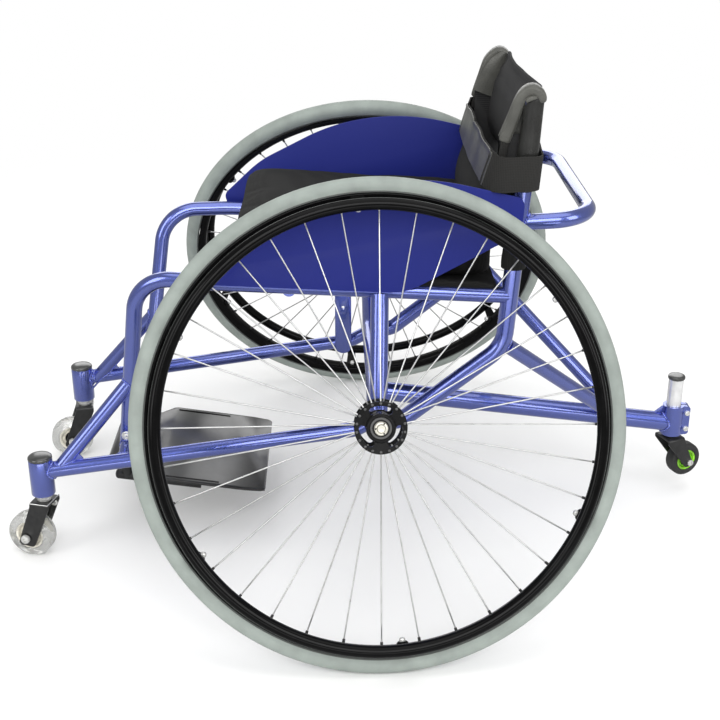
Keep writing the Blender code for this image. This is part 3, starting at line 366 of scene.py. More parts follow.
def clear_plastic():
    """Soft clear roller: cloudy, with some light passing through."""
    material, tree, shader = new_material("clear_soft_plastic")
    cloud = ramp(tree, noise_value(tree, 90, 3.0), (0.84, 0.85, 0.82), (0.95, 0.95, 0.93))
    tree.links.new(cloud, shader.inputs["Base Color"])
    set_sockets(shader, {"Roughness": 0.14, "Transmission Weight": 0.82, "IOR": 1.45})
    bump(tree, shader, noise_value(tree, 260, 2.0), 0.05, 0.0004)
    return material


FRAME_BLUE = paint("frame_candy_blue", (0.105, 0.145, 0.52), 0.88, 0.24, 0.35, coat_ior=1.8)
GUARD_BLUE = paint("guard_deep_blue", (0.017, 0.025, 0.205), 0.0, 0.45, 0.10, 0.05, 0.15)
RIM_BLACK = gloss("rim_gloss_black", (0.002, 0.002, 0.0021), 0.13, 0.0, 0.14)
PLATE_BLACK = gloss("plate_gloss_black", (0.010, 0.010, 0.010), 0.30, 0.5, 0.5)
HUB_BLACK = gloss("hub_black_alloy", (0.003, 0.003, 0.0032), 0.20, 0.0, 0.30)
FORK_BLACK = satin("fork_black_coat", (0.013, 0.013, 0.013), 0.34)
CAP_BLACK = gloss("cap_black_plastic", (0.030, 0.031, 0.029), 0.30, 0.9, 0.6)
SEAL_BLACK = gloss("seal_black_rubber", (0.006, 0.006, 0.006), 0.45, 0.0, 0.30)
BRIGHT_STEEL = metal("bright_steel", (0.74, 0.74, 0.72), 0.22, 0.65)
CAP_SILVER = metal("cap_cream_silver", (0.66, 0.64, 0.56), 0.30, 0.40)
SPOKE_STEEL = metal("spoke_steel", (0.66, 0.66, 0.65), 0.28)
DARK_STEEL = metal("dark_steel", (0.10, 0.10, 0.10), 0.40, 0.6)
# Nearly half of this chrome is plain white, not mirror: a painted reflection that gives the post the
# brightness of the white room it would mirror.
CHROME = metal("polished_chrome", (0.90, 0.90, 0.90), 0.09, 0.55)
TYRE_GREY = rubber("tyre_grey_rubber", (0.270, 0.305, 0.280))
TYRE_DARK = rubber("tyre_dark_at_rim", (0.060, 0.066, 0.062))
SMALL_TYRE_BLACK = satin("small_tyre_black", (0.020, 0.020, 0.020), 0.5)
CLEAR = clear_plastic()
CORE_WHITE = satin("core_warm_white", (0.72, 0.69, 0.60), 0.36)
CORE_GREEN = satin("core_green", (0.24, 0.60, 0.03), 0.28)
LEATHER = leatherette("back_leatherette", (0.017, 0.017, 0.016), 0.26)
LEATHER_LIGHT = leatherette("strip_leatherette", (0.085, 0.085, 0.076), 0.32)
MESH_CLOTH = woven("spacer_mesh", (0.030, 0.030, 0.0305), 0.0016, 0.8)
PANEL_CLOTH = woven("panel_cloth", (0.018, 0.018, 0.0172), 0.0010)
BAND_CLOTH = woven("band_webbing", (0.024, 0.0235, 0.0225), 0.0011, 0.85, "Y")
FLAP_CLOTH = woven("flap_cloth", (0.013, 0.013, 0.0125), 0.0010)
CUSHION_CLOTH = woven("cushion_cloth", (0.012, 0.012, 0.0117), 0.0009)
THREAD = satin("stitching_thread", (0.11, 0.11, 0.10), 0.7)

FINISHES = {
    name: material
    for material, names in (
        (FRAME_BLUE, "main_tube front_frame back_tube axle_carrier rear_boom push_bar"),
        (FRAME_BLUE, "right_side_strut seat_cross_tube"),
        (GUARD_BLUE, "guard"),
        (CAP_SILVER, "axle release_button"),
        (BRIGHT_STEEL, "hub_bearing_inner hub_bearing_outer caster_bearing caster_axle"),
        (BRIGHT_STEEL, "hanger_bolt antitip_axle clamp_bolt_lower clamp_bolt_upper"),
        (CAP_BLACK, "barrel_cap antitip_post_cap"),
        (FORK_BLACK, "caster_fork footrest_hanger antitip_fork"),
        (CLEAR, "caster_tyre"),
        (CORE_WHITE, "caster_core"),
        (TYRE_GREY, "tyre"),
        (RIM_BLACK, "rim handrim"),
        (HUB_BLACK, "hub"),
        (PLATE_BLACK, "footplate"),
        (CHROME, "antitip_post"),
        (SMALL_TYRE_BLACK, "antitip_tyre"),
        (CORE_GREEN, "antitip_core"),
        (CUSHION_CLOTH, "seat_sling seat_cushion"),
        (LEATHER, "back_upholstery"),
        (BAND_CLOTH, "back_band"),
        (LEATHER_LIGHT, "back_front_panel"),
    )
    for name in names.split()
}


def finish_nodes():
    """Gives every construction node its finish."""
    for name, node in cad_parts.items():
        common = name.split("_", 1)[1] if name.startswith(("left_", "right_")) else name
        material = FINISHES.get(name) or FINISHES[common]
        for place in node.material_slots:
            place.material = material


# Mesh tools


def linked(name, data):
    """A new object in the scene."""
    obj = bpy.data.objects.new(name, data)
    bpy.context.scene.collection.objects.link(obj)
    return obj


def mesh_of(name, bm):
    """Turns a shape into a mesh and frees it."""
    mesh = bpy.data.meshes.new(name)
    bm.to_mesh(mesh)
    bm.free()
    return mesh


def piece(name, bm, material, body, slot, *replaced, smooth_angle=40, smooth=0):
    """Makes a mesh object of the chair that rides on a body and may stand for nodes."""
    bmesh.ops.remove_doubles(bm, verts=bm.verts, dist=1e-6)
    bmesh.ops.recalc_face_normals(bm, faces=bm.faces)
    bmesh.ops.translate(bm, verts=bm.verts, vec=(0, ORIGIN_Y, 0))
    mesh = mesh_of(name, bm)
    mesh.shade_smooth()
    if not smooth:
        mesh.set_sharp_from_angle(angle=radians(smooth_angle))
    for surface in material if isinstance(material, tuple) else (material,):
        mesh.materials.append(surface)
    obj = linked(name, mesh)
    if smooth:
        modifier = obj.modifiers.new("smooth", "SUBSURF")
        modifier.levels = smooth
        modifier.render_levels = smooth
    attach(obj, body)
    if replaced:
        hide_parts(*replaced)
    return obj


def frame_piece(name, bm, node, smooth_angle=40):
    """A painted piece of the frame."""
    piece(name, bm, FRAME_BLUE, "frame", "frame_paint", node, smooth_angle=smooth_angle)


def steel_piece(name, bm, body, *replaced):
    """A bright small part, such as a bolt, a washer or a bearing."""
    piece(name, bm, BRIGHT_STEEL, body, "steel", *replaced, smooth_angle=30)


def soft_piece(name, bm, material, *replaced, smooth_angle=60, smooth=0):
    """A cloth or leatherette piece of the seat or the back."""
    slot = "black_leatherette" if material in (LEATHER, LEATHER_LIGHT) else "black_fabric"
    return piece(name, bm, material, "frame", slot, *replaced, smooth_angle=smooth_angle, smooth=smooth)


def around(count):
    """Angles of evenly spaced points on a circle."""
    return [2 * pi * k / count for k in range(count)]


def circle(centre, across, up, radius, sides):
    return [centre + radius * (cos(a) * across + sin(a) * up) for a in around(sides)]


def skin(rings, closed=False, bm=None):
    """Bridges rings of equally many points, and fills the first and last unless closed."""
    bm = bm or bmesh.new()
    loops = [[bm.verts.new(p) for p in ring] for ring in rings]
    count = len(loops[0])
    pairs = list(zip(loops, loops[1:]))
    if closed:
        pairs.append((loops[-1], loops[0]))
    for a, b in pairs:
        for i in range(count):
            j = (i + 1) % count
            bm.faces.new((a[i], a[j], b[j], b[i]))
    if not closed:
        bm.faces.new(loops[0][::-1])
        bm.faces.new(loops[-1])
    return bm


def turned(profile, segments, place=None, bm=None):
    """A solid about Z from (height, radius) pairs, flat at both ends."""
    place = place or Matrix.Identity(4)
    rings = []
    for height, radius in profile:
        rings.append([place @ Vector((radius * cos(a), radius * sin(a), height)) for a in around(segments)])
    return skin(rings, bm=bm)


def turned_ring(profile, segments, place=None, bm=None):
    """A ring about Z whose closed section is given as (height, radius) pairs."""
    place = place or Matrix.Identity(4)
    rings = [[place @ Vector((r * cos(a), r * sin(a), h)) for h, r in profile] for a in around(segments)]
    return skin(rings, closed=True, bm=bm)


def rounded_path(corners, radii, steps=12):
    """A polyline whose inner corners are replaced by arcs of the given radii."""
    corners = [Vector(c) for c in corners]
    path = [corners[0]]
    for before, corner, after, radius in zip(corners, corners[1:], corners[2:], radii):
        path += corner_arc(before, corner, after, radius, steps)
    path.append(corners[-1])
    return path


def corner_arc(before, corner, after, radius, steps):
    u = (before - corner).normalized()
    v = (after - corner).normalized()
    half = u.angle(v) / 2
    reach = radius / tan(half)
    centre = corner + (u + v).normalized() * (radius / sin(half))
    start = corner + u * reach - centre
    end = corner + v * reach - centre
    turn = start.angle(end)
    arc = []
    for k in range(steps + 1):
        t = k / steps
        arc.append(centre + sin((1 - t) * turn) / sin(turn) * start + sin(t * turn) / sin(turn) * end)
    return arc


def rounded_outline(corners, radii, steps=8):
    """A closed outline in two dimensions with each corner rounded to its radius."""
    outline = []
    count = len(corners)
    for i in range(count):
        before = Vector(corners[i - 1])
        corner = Vector(corners[i])
        after = Vector(corners[(i + 1) % count])
        if radii[i] == 0:
            outline.append(corner)
        else:
            outline += corner_arc(before, corner, after, radii[i], steps)
    return outline


def inset(outline, amount):
    """Draws a closed outline in by an amount."""
    count = len(outline)
    area = sum(a.x * b.y - b.x * a.y for a, b in zip(outline, outline[1:] + outline[:1]))
    inward = 1 if area > 0 else -1
    moved = []
    for i, p in enumerate(outline):
        along = (outline[(i + 1) % count] - outline[i - 1]).normalized()
        moved.append(p + inward * amount * Vector((-along.y, along.x)))
    return moved


def plate(outline, low, high, axis="X", edge=0.0, bm=None):
    """An outline extruded along X, Y or Z, with softened edges."""
    outline = [Vector(p) for p in outline]

    def placed(p, depth):
        if axis == "X":
            return Vector((depth, p[0], p[1]))
        return Vector((p[0], depth, p[1])) if axis == "Y" else Vector((p[0], p[1], depth))

    if not edge:
        return skin([[placed(p, low) for p in outline], [placed(p, high) for p in outline]], bm=bm)
    step = edge if high > low else -edge
    small = inset(outline, edge)
    middle = inset(outline, edge * 0.3)
    levels = [(small, low), (middle, low + 0.3 * step), (outline, low + step)]
    levels += [(outline, high - step), (middle, high - 0.3 * step), (small, high)]
    return skin([[placed(p, depth) for p in ring] for ring, depth in levels], bm=bm)


def ring_at(centre, direction, radius, sides):
    across = direction.orthogonal().normalized()
    return circle(centre, across, direction.cross(across).normalized(), radius, sides)


def rod(path, radii, sides=32, bm=None, first_on=None, last_on=None):
    """A round bar along a path. Its ends may be shaped onto an upright round part."""
    path = [Vector(p) for p in path]
    if not isinstance(radii, (list, tuple)):
        radii = [radii] * len(path)
    across = None
    rings = []
    for i, point in enumerate(path):
        tangent = (path[min(i + 1, len(path) - 1)] - path[max(i - 1, 0)]).normalized()
        across = across or tangent.orthogonal().normalized()
        across = (across - tangent * across.dot(tangent)).normalized()
        rings.append(circle(point, across, tangent.cross(across), radii[i], sides))
    if first_on:
        rings[0] = slid_onto(rings[0], (path[0] - path[1]).normalized(), *first_on)
    if last_on:
        rings[-1] = slid_onto(rings[-1], (path[-1] - path[-2]).normalized(), *last_on)
    return skin(rings, bm=bm)


def slid_onto(ring, direction, centre, reach):
    """Slides the points of a tube's end along it, up to a distance from an upright axis."""
    moved = []
    for p in ring:
        ox = p.x - centre[0]
        oy = p.y - centre[1]
        a = direction.x**2 + direction.y**2
        b = 2 * (ox * direction.x + oy * direction.y)
        c = ox * ox + oy * oy - reach**2
        moved.append(p + direction * ((-b - sqrt(max(0.0, b * b - 4 * a * c))) / (2 * a)))
    return moved


def bead(hosts, start, end, radius, bm, size=0.0014):
    """Rippled weld bead where a straight tube meets other parts."""
    start = Vector(start)
    axis = (Vector(end) - start).normalized()
    count = 168
    hits = []
    for p in ring_at(start, axis, radius, count):
        found = [h for h in (tree.ray_cast(p, axis) for tree in hosts) if h[0] is not None]
        if not found:
            return
        hits.append(min(found, key=lambda h: h[3])[0])
    rings = []
    for k, point in enumerate(hits):
        tangent = (hits[(k + 1) % count] - hits[k - 1]).normalized()
        out = point - (start + axis * (point - start).dot(axis))
        out = (out - tangent * out.dot(tangent)).normalized()
        thick = size * (1 + 0.20 * sin(k * pi / 2.5) + 0.25 * noise.noise(point * 160))
        centre = point + out * size * 0.25 - axis * size * 0.25
        rings.append(circle(centre, out, tangent.cross(out), thick, 10))
    skin(rings, closed=True, bm=bm)


def tree_of(*shapes):
    """Search tree over copies of some shapes."""
    joined = bmesh.new()
    for shape in shapes:
        mesh = bpy.data.meshes.new("host")
        shape.to_mesh(mesh)
        joined.from_mesh(mesh)
        bpy.data.meshes.remove(mesh)
    tree = BVHTree.FromBMesh(joined)
    joined.free()
    return tree


def host(bm):
    """Search tree of a shape that is made only to find where a tube meets it."""
    tree = tree_of(bm)
    bm.free()
    return tree


def join(bm, *others):
    """Moves other shapes into a shape."""
    for other in others:
        mesh = mesh_of("joined", other)
        bm.from_mesh(mesh)
        bpy.data.meshes.remove(mesh)


def carve(bm, tool, operation="DIFFERENCE"):
    """Cuts one closed shape with another, or keeps what they share."""
    objects = []
    for shape in (bm, tool):
        bmesh.ops.recalc_face_normals(shape, faces=shape.faces)
        objects.append(linked("shape", mesh_of("shape", shape)))
    modifier = objects[0].modifiers.new("carve", "BOOLEAN")
    modifier.operation = operation
    modifier.object = objects[1]
    bpy.context.view_layer.update()
    evaluated = objects[0].evaluated_get(bpy.context.evaluated_depsgraph_get())
    result = bmesh.new()
    result.from_mesh(evaluated.to_mesh())
    evaluated.to_mesh_clear()
    for obj in objects:
        bpy.data.objects.remove(obj, do_unlink=True)
    return result


def softened(bm, width, angle=35, segments=2):
    """Rounds the sharp edges of a shape a little."""
    bmesh.ops.dissolve_limit(bm, angle_limit=radians(1), verts=bm.verts, edges=bm.edges)
    sharp = [e for e in bm.edges if len(e.link_faces) == 2 and e.calc_face_angle(0) > radians(angle)]
    shape = {"segments": segments, "profile": 0.6, "affect": "EDGES", "clamp_overlap": True}
    bmesh.ops.bevel(bm, geom=sharp, offset=width, **shape)
    return bm


def transform(bm, matrix):
    bmesh.ops.transform(bm, matrix=matrix, verts=bm.verts)
    return bm


# Frame tubes


def main_route():
    rear_y = 0.1836
    corners = [(RAIL_X, rear_y, rail_height(rear_y)), (RAIL_X - 0.001, -0.225, rail_height(-0.225))]
    return rounded_path(corners + [DOWN_TUBE_TOP, DOWN_TUBE_FOOT], [0.20, 0.058], steps=16)


def back_route():
    corners = [(SIDE_X, 0.0040, 0.2245), (SIDE_X, 0.0340, 0.2212), (SIDE_X, BACK_BEND.y, BACK_BEND.z)]
    return rounded_path(corners + [(SIDE_X, post_y(BACK_TOP_Z), BACK_TOP_Z)], [0.03, 0.055], steps=16)


def cross_route():
    end_x = 0.300
    kink_x = HALF_TRACK - (HUB_HEIGHT - CROSS_Z) / tan(CAMBER)
    corners = [(-end_x, 0, on_axle_line(end_x)), (-kink_x, 0, CROSS_Z)]
    return rounded_path(corners + [(kink_x, 0, CROSS_Z), (end_x, 0, on_axle_line(end_x))], [0.06, 0.06])


def lower_rail_route():
    corners = [(0.1625, -0.4780, 0.1402), (LOWER_RAIL_X, -0.030, 0.2051), (LOWER_RAIL_X, -0.0035, 0.220)]
    return rounded_path(corners, [0.04])


def boom_route():
    return rounded_path([(0, 0.002, 0.222), (0, 0.010, 0.1888), (0, ANTITIP_Y - 0.010, 0.1290)], [0.018])


def push_route():
    corners = [(SIDE_X, 0.1908, 0.5185), (SIDE_X, 0.2945, 0.5245)]
    return rounded_path(corners + mirrored(corners[::-1], -1), [0.058, 0.058], steps=16)


def main_tube(side):
    return rod(mirrored(main_route(), side), RAIL_TUBE, 40)


def back_tube(side):
    return rod(mirrored(back_route(), side), BACK_TUBE, 40)


def cross_tube():
    return rod(cross_route(), CROSS_TUBE, 40)


def barrel_ring(side):
    """Barrel of a front caster, with softened edges."""
    low = BARREL_BOTTOM
    high = BARREL_TOP
    bore = BARREL_BORE
    wall = BARREL_RADIUS
    profile = [(low, bore + 0.0006), (low + 0.0006, bore), (high - 0.0006, bore), (high, bore + 0.0006)]
    profile += [(high, wall - 0.0010), (high - 0.0003, wall - 0.0003), (high - 0.0010, wall)]
    profile += [(low + 0.0010, wall), (low + 0.0003, wall - 0.0003), (low, wall - 0.0010)]
    return turned_ring(profile, 56, Matrix.Translation((side * BARREL_X, BARREL_Y, 0)))


def make_side_tubes(side, label):
    """Seat rail with its down tube, lower rail with the caster barrel, and the back tube."""
    main = main_tube(side)
    back = back_tube(side)
    barrel = barrel_ring(side)
    rail_path = mirrored(lower_rail_route(), side)
    rail = rod(rail_path, RAIL_TUBE, 40, first_on=((side * BARREL_X, BARREL_Y), 0.0150))
    main_tree = tree_of(main)
    back_tree = tree_of(back)
    barrel_tree = tree_of(barrel)
    rail_tree = tree_of(rail)
    cross_tree = host(cross_tube())
    foot, brace_top = mirrored([(0.1615, -0.4575, 0.1432), on_down_tube(0.2695)], side)
    tie = mirrored([on_down_tube(0.1665), (LOWER_RAIL_X, -0.3650, 0.1566)], side)
    beads = bmesh.new()
    brace = rod([foot, brace_top], BRACE_TUBE, 36)
    rod(tie, TIE_TUBE, 32, rail)
    bead([main_tree], foot.lerp(brace_top, 0.5), brace_top, BRACE_TUBE, beads)
    bead([rail_tree, barrel_tree], brace_top, foot, BRACE_TUBE, beads)
    bead([barrel_tree], rail_path[0].lerp(rail_path[1], 0.3), rail_path[0], RAIL_TUBE, beads, 0.0017)
    bead([cross_tree], rail_path[-2], rail_path[-1], RAIL_TUBE, beads)
    middle = tie[0].lerp(tie[1], 0.5)
    bead([main_tree], middle, tie[0], TIE_TUBE, beads, 0.0012)
    bead([rail_tree], middle, tie[1], TIE_TUBE, beads, 0.0012)
    gusset = rounded_outline([(-0.452, 0.150), (-0.416, 0.152), (-0.433, 0.176)], [0.002] * 3, 3)
    plate(gusset, side * 0.1625, side * 0.1590, bm=rail, edge=0.0005)
    join(rail, brace, barrel, beads)
    frame_piece(f"{label}_lower_frame", rail, f"{label}_front_frame")
    route = mirrored(main_route(), side)
    bead([back_tree], route[1], route[0], RAIL_TUBE, main)
    lip = mirrored([on_down_tube(0.1550), on_down_tube(0.1575)], side)
    rod(lip, RAIL_TUBE + 0.0008, 40, main)
    frame_piece(f"{label}_rail_and_down_tube", main, f"{label}_main_tube")
    route = mirrored(back_route(), side)
    bead([cross_tree], route[2], route[0], BACK_TUBE, back, 0.0018)
    frame_piece(f"{label}_back_post", back, f"{label}_back_tube")


def sleeve_bead(place, bm):
    """Weld bead round the inner end of an axle sleeve."""
    axis = place.to_3x3() @ Vector((0, 0, 1))
    centre = place @ Vector((0, 0, SLEEVE_END))
    rings = []
    for k, point in enumerate(ring_at(centre, axis, CROSS_TUBE + 0.0012, 120)):
        thick = 0.0020 * (1 + 0.2 * sin(k * pi / 2.5))
        rings.append(circle(point, (point - centre).normalized(), axis, thick, 10))
    skin(rings, closed=True, bm=bm)


def make_axle_carrier():
    """Cross tube with its cambered sleeves and the posts up to the seat rails."""
    bm = cross_tube()
    carrier_tree = tree_of(bm)
    edge = SLEEVE_TUBE - 0.0012
    bore = AXLE_RADIUS + GAP
    sleeve = [(SLEEVE_END, 0.0115), (SLEEVE_END, edge), (-0.1038, SLEEVE_TUBE), (-0.0437, SLEEVE_TUBE)]
    sleeve += [(-0.0425, edge), (-0.0425, bore), (-0.0700, bore)]
    for side, _ in SIDES:
        place = wheel_matrix(side)
        turned_ring(sleeve, 48, place, bm)
        foot = (0.243, 0.001, on_axle_line(0.243))
        foot, top = mirrored([foot, (RAIL_X, 0.004, rail_height(0.004))], side)
        rod([foot, top - (top - foot).normalized() * 0.0060], CROSS_TUBE, 40, bm)
        bead([host(main_tube(side))], foot.lerp(top, 0.7), top, CROSS_TUBE + 0.0004, bm, 0.0034)
        bead([carrier_tree], foot.lerp(top, 0.4), foot, CROSS_TUBE, bm, 0.0018)
        sleeve_bead(place, bm)
    frame_piece("axle_carrier_tubes", bm, "axle_carrier")


def clamp_arc(radius, half_slit, way, steps):
    """Points round the post, from one side of the slit to the other."""
    start = atan(half_slit / sqrt(radius**2 - half_slit**2))
    points = []
    for k in range(steps + 1):
        a = pi / 2 + way * start + way * (2 * pi - 2 * start) * k / steps
        points.append(Vector((radius * cos(a), ANTITIP_Y + radius * sin(a))))
    return points


def clamp_shape():
    """Split clamp for the anti-tip post, with its two rounded ears."""
    ear = 0.0085
    slit = 0.0012
    tip = ANTITIP_Y + 0.0265
    outline = clamp_arc(0.0170, ear, -1, 48) + [Vector((-ear, tip)), Vector((-slit, tip))]
    outline += clamp_arc(ANTITIP_POST + GAP, slit, 1, 40) + [Vector((slit, tip)), Vector((ear, tip))]
    solid = plate(outline, CLAMP_BOTTOM, CLAMP_TOP, "Z")
    low = CLAMP_BOTTOM + 0.0006
    high = CLAMP_TOP - 0.0006
    half = [(-0.03, CLAMP_BOTTOM - 0.01), (0.0175, CLAMP_BOTTOM - 0.01), (0.0180, low), (0.0262, low)]
    half += [(0.0262, high), (0.0180, high), (0.0175, CLAMP_TOP + 0.01), (-0.03, CLAMP_TOP + 0.01)]
    corners = [(ANTITIP_Y + y, z) for y, z in half]
    profile = rounded_outline(corners, [0, 0, 0.0004, 0.0050, 0.0050, 0.0004, 0, 0], 6)
    return softened(carve(solid, plate(profile, -0.03, 0.03), "INTERSECT"), 0.0005, 30, 1)


def make_rear_boom():
    """Boom with its stays, the split clamp on its end and the small gusset."""
    route = boom_route()
    boom = rod(route, BOOM_TUBE, 44, last_on=((0, ANTITIP_Y), 0.0150))
    boom_tree = tree_of(boom)
    clamp = clamp_shape()
    bead([host(cross_tube())], route[1], route[0], BOOM_TUBE, boom, 0.0018)
    bead([tree_of(clamp)], route[-2].lerp(route[-1], 0.9), route[-1], BOOM_TUBE, boom, 0.0020)
    for side, _ in SIDES:
        low, top = mirrored([(0.010, 0.3980, 0.1385), (SIDE_X, 0.1765, 0.3436)], side)
        rod([low, low.lerp(top, 0.965)], STAY_TUBE, 36, boom)
        middle = low.lerp(top, 0.5)
        bead([boom_tree], middle, low, STAY_TUBE, boom)
        bead([host(back_tube(side))], middle, top, STAY_TUBE, boom)
    corners = [(0.446, 0.140), (0.471, 0.138), (0.471, 0.1570), (0.466, 0.1570)]
    gusset = rounded_outline(corners, [0.001, 0, 0.001, 0.001], 3)
    plate(gusset, -0.0020, 0.0020, edge=0.0005, bm=boom)
    join(boom, clamp)
    frame_piece("boom_and_clamp", boom, "rear_boom", smooth_angle=32)


def make_push_bar():
    bar = rod(push_route(), PUSH_BAR_TUBE, 40)
    for side, _ in SIDES:
        inner, end = mirrored([(SIDE_X, 0.2300, 0.5207), (SIDE_X, 0.1908, 0.5185)], side)
        bead([host(back_tube(side))], inner, end, PUSH_BAR_TUBE, bar, 0.0018)
    frame_piece("push_bar_tube", bar, "push_bar")


def make_seat_tube():
    """Cross tube between the seat rails."""
    y = -0.120
    z = rail_height(y) - 0.006
    cross = rod([(-RAIL_X, y, z), (RAIL_X, y, z)], SEAT_TUBE, 36)
    for side, _ in SIDES:
        bead([host(main_tube(side))], (side * 0.10, y, z), (side * RAIL_X, y, z), SEAT_TUBE, cross)
    frame_piece("seat_tube", cross, "seat_cross_tube")


def make_side_strut():
    """Flat strut on the right, which leans a little and has a hole."""
    half = 0.0135
    y = -0.045
    foot = 0.189
    slope = -0.032
    top = rail_height(y) + 0.004
    corners = [(y - half, foot), (y + half, foot), (y + half, top), (y - half, top)]
    outline = rounded_outline(corners, [half - 0.001, half - 0.001, 0.003, 0.003], 10)
    lean = Matrix.Identity(4)
    lean[0][2] = slope
    lean[0][3] = -slope * foot
    strut = transform(plate(outline, -0.1550, -0.1470, edge=0.0012), lean)
    strut = carve(strut, rod([(-0.20, y, 0.270), (-0.10, y, 0.270)], 0.003, 24))
    frame_piece("side_strut", strut, "right_side_strut", smooth_angle=30)


# Wheels


def wheel_matrix(side):
    """Local Z points outboard along the axle, and local X down the wheel."""
    outboard = Vector((side * cos(CAMBER), 0, sin(CAMBER)))
    down = Vector((side * sin(CAMBER), 0, -cos(CAMBER)))
    matrix = Matrix((down, outboard.cross(down), outboard)).transposed().to_4x4()
    matrix.translation = (side * HALF_TRACK, 0, HUB_HEIGHT)
    return matrix


def arc_points(centre, radius, start, end, steps):
    """(height, radius) points of an arc in a section, with angles from the outward radius."""
    angles = [radians(degrees) for degrees in spread(start, end, steps)]
    return [(centre[0] + radius * sin(a), centre[1] + radius * cos(a)) for a in angles]


def tyre_section():
    """Round tyre with a bead line low on each sidewall."""
    outline = arc_points((0, TYRE_RING), TYRE_TUBE, -114, 114, 24)
    right = [(0.0107, 0.3008), (0.0109, 0.3003), (0.0108, 0.2990), (0.0100, 0.2984)]
    left = [(-h, r) for h, r in right[::-1]]
    return outline + right + left


def make_tyre(side, label):
    place = wheel_matrix(side)
    bm = turned_ring(tyre_section(), 180, place)
    back = place.inverted()
    # Faces of the tyre next to the rim take the darker rubber, a dark band where tyre and rim meet.
    for face in bm.faces:
        local = back @ face.calc_center_median()
        face.material_index = 1 if local.xy.length < 0.3006 else 0
    body = f"{label}_drive_wheel"
    piece(f"{label}_tyre_tread", bm, (TYRE_GREY, TYRE_DARK), body, "tyre_rubber", f"{label}_tyre")


def rim_section():
    """Box rim with rolled edges and a shallow well under the tyre."""
    w = RIM_HALF_WIDTH
    half = [
        (0.0, 0.2925),
        (0.0070, 0.2940),
        (w - 0.0026, 0.2970),
        (w - 0.0016, 0.2978),
        (w - 0.0008, 0.2979),
        (w, 0.2972),
        (w, 0.2955),
        (w - 0.0006, 0.2945),
        (w - 0.0004, 0.2905),
        (w - 0.0020, 0.2870),
        (0.0055, 0.2850),
        (0.0, RIM_INNER),
    ]
    return half + [(-h, r) for h, r in half[-2:0:-1]]


def make_rim(side, label):
    bm = turned_ring(rim_section(), 180, wheel_matrix(side))
    piece(f"{label}_rim_hoop", bm, RIM_BLACK, f"{label}_drive_wheel", "black_rim", f"{label}_rim")


def make_handrim(side, label):
    """Push ring with bracket tabs welded to it and bolted through the rim."""
    place = wheel_matrix(side)
    ring = arc_points((HANDRIM_OFFSET, HANDRIM_RING), HANDRIM_TUBE, 0, 345, 23)
    bm = turned_ring(ring, 180, place)
    nuts = bmesh.new()
    for k in range(HANDRIM_TABS):
        turn = place @ Matrix.Rotation(FIRST_TAB + k * 2 * pi / HANDRIM_TABS, 4, "Z")
        rows = []
        for height, half, radius in (
            (RIM_HALF_WIDTH - 0.0004, 0.0088, 0.2935),
            (0.0150, 0.0090, 0.2925),
            (0.0220, 0.0082, 0.2897),
            (0.0300, 0.0074, 0.2868),
            (HANDRIM_OFFSET - 0.0035, 0.0080, 0.2845),
        ):
            edge = half - 0.001
            section = [(-0.0013, -half), (-0.0016, -edge), (-0.0016, edge), (-0.0013, half)]
            section += [(0.0013, half), (0.0016, edge), (0.0016, -edge), (0.0013, -half)]
            rows.append([turn @ Vector((radius + x, y, height)) for x, y in section])
        skin(rows, bm=bm)
        inward = Matrix.Rotation(-pi / 2, 4, "Y")
        seat = turn @ Matrix.Translation((RIM_INNER + 0.0004, 0, 0.0)) @ inward
        base = [(0.0, 0.0078), (0.0010, 0.0080), (0.0022, 0.0078), (0.0040, 0.0062), (0.0046, 0.0048)]
        turned(base, 28, seat, bm)
        dome = [(0.0044, 0.0042), (0.0066, 0.0042), (0.0082, 0.0036), (0.0093, 0.0022), (0.0097, 0.0008)]
        turned(dome, 24, seat, nuts)
    body = f"{label}_drive_wheel"
    piece(f"{label}_push_ring", bm, RIM_BLACK, body, "black_rim", f"{label}_handrim")
    piece(f"{label}_ring_nuts", nuts, BRIGHT_STEEL, body, "steel")


def flange_section():
    """Hub shell with both flanges and the raised collar round the axle."""
    outer = OUTER_FLANGE
    inner = INNER_FLANGE
    thick = FLANGE_THICKNESS
    return [
        (inner - 0.0050, HUB_BORE),
        (inner - 0.0050, 0.0172),
        (inner - 0.0042, 0.0180),
        (inner - 0.0006, 0.0186),
        (inner, 0.0192),
        (inner, 0.0330),
        (inner + 0.0008, 0.0340),
        (inner + thick - 0.0008, 0.0340),
        (inner + thick, 0.0332),
        (inner + thick, 0.0186),
        (inner + thick + 0.0030, 0.0176),
        (inner + 0.0150, 0.0162),
        (outer - 0.0150, 0.0162),
        (outer - thick - 0.0030, 0.0170),
        (outer - thick, 0.0180),
        (outer - thick, 0.0332),
        (outer - thick + 0.0008, 0.0340),
        (outer - 0.0010, 0.0340),
        (outer, 0.0328),
        (outer - 0.0004, 0.0196),
        (outer + 0.0008, 0.0190),
        (outer + 0.0060, 0.0185),
        (outer + 0.0070, 0.0176),
        (outer + 0.0070, HUB_BORE + 0.0004),
        (outer + 0.0064, HUB_BORE),
    ]


def window_cap(middle, half_width, end, turn):
    """Round end of a curved window."""
    points = []
    for i in range(1, 8):
        a = end + turn + pi * i / 8
        points.append((middle * cos(end) + half_width * cos(a), middle * sin(end) + half_width * sin(a)))
    return points


def hub_windows(place):
    """Three curved windows through both flanges, with rounded ends."""
    bm = bmesh.new()
    middle = 0.0237
    half_width = 0.0043
    half_angle = radians(27.5)
    for k in range(3):
        centre = radians(180 + 120 * k)
        angles = [centre - half_angle + 2 * half_angle * i / 12 for i in range(13)]
        outline = [((middle + half_width) * cos(a), (middle + half_width) * sin(a)) for a in angles]
        outline += window_cap(middle, half_width, angles[-1], 0.0)
        outline += [((middle - half_width) * cos(a), (middle - half_width) * sin(a)) for a in angles[::-1]]
        outline += window_cap(middle, half_width, angles[0], pi)
        for height in (OUTER_FLANGE - 0.002, INNER_FLANGE + 0.002):
            skin([[place @ Vector((x, y, height + d)) for x, y in outline] for d in (-0.007, 0.007)], bm=bm)
    return bm


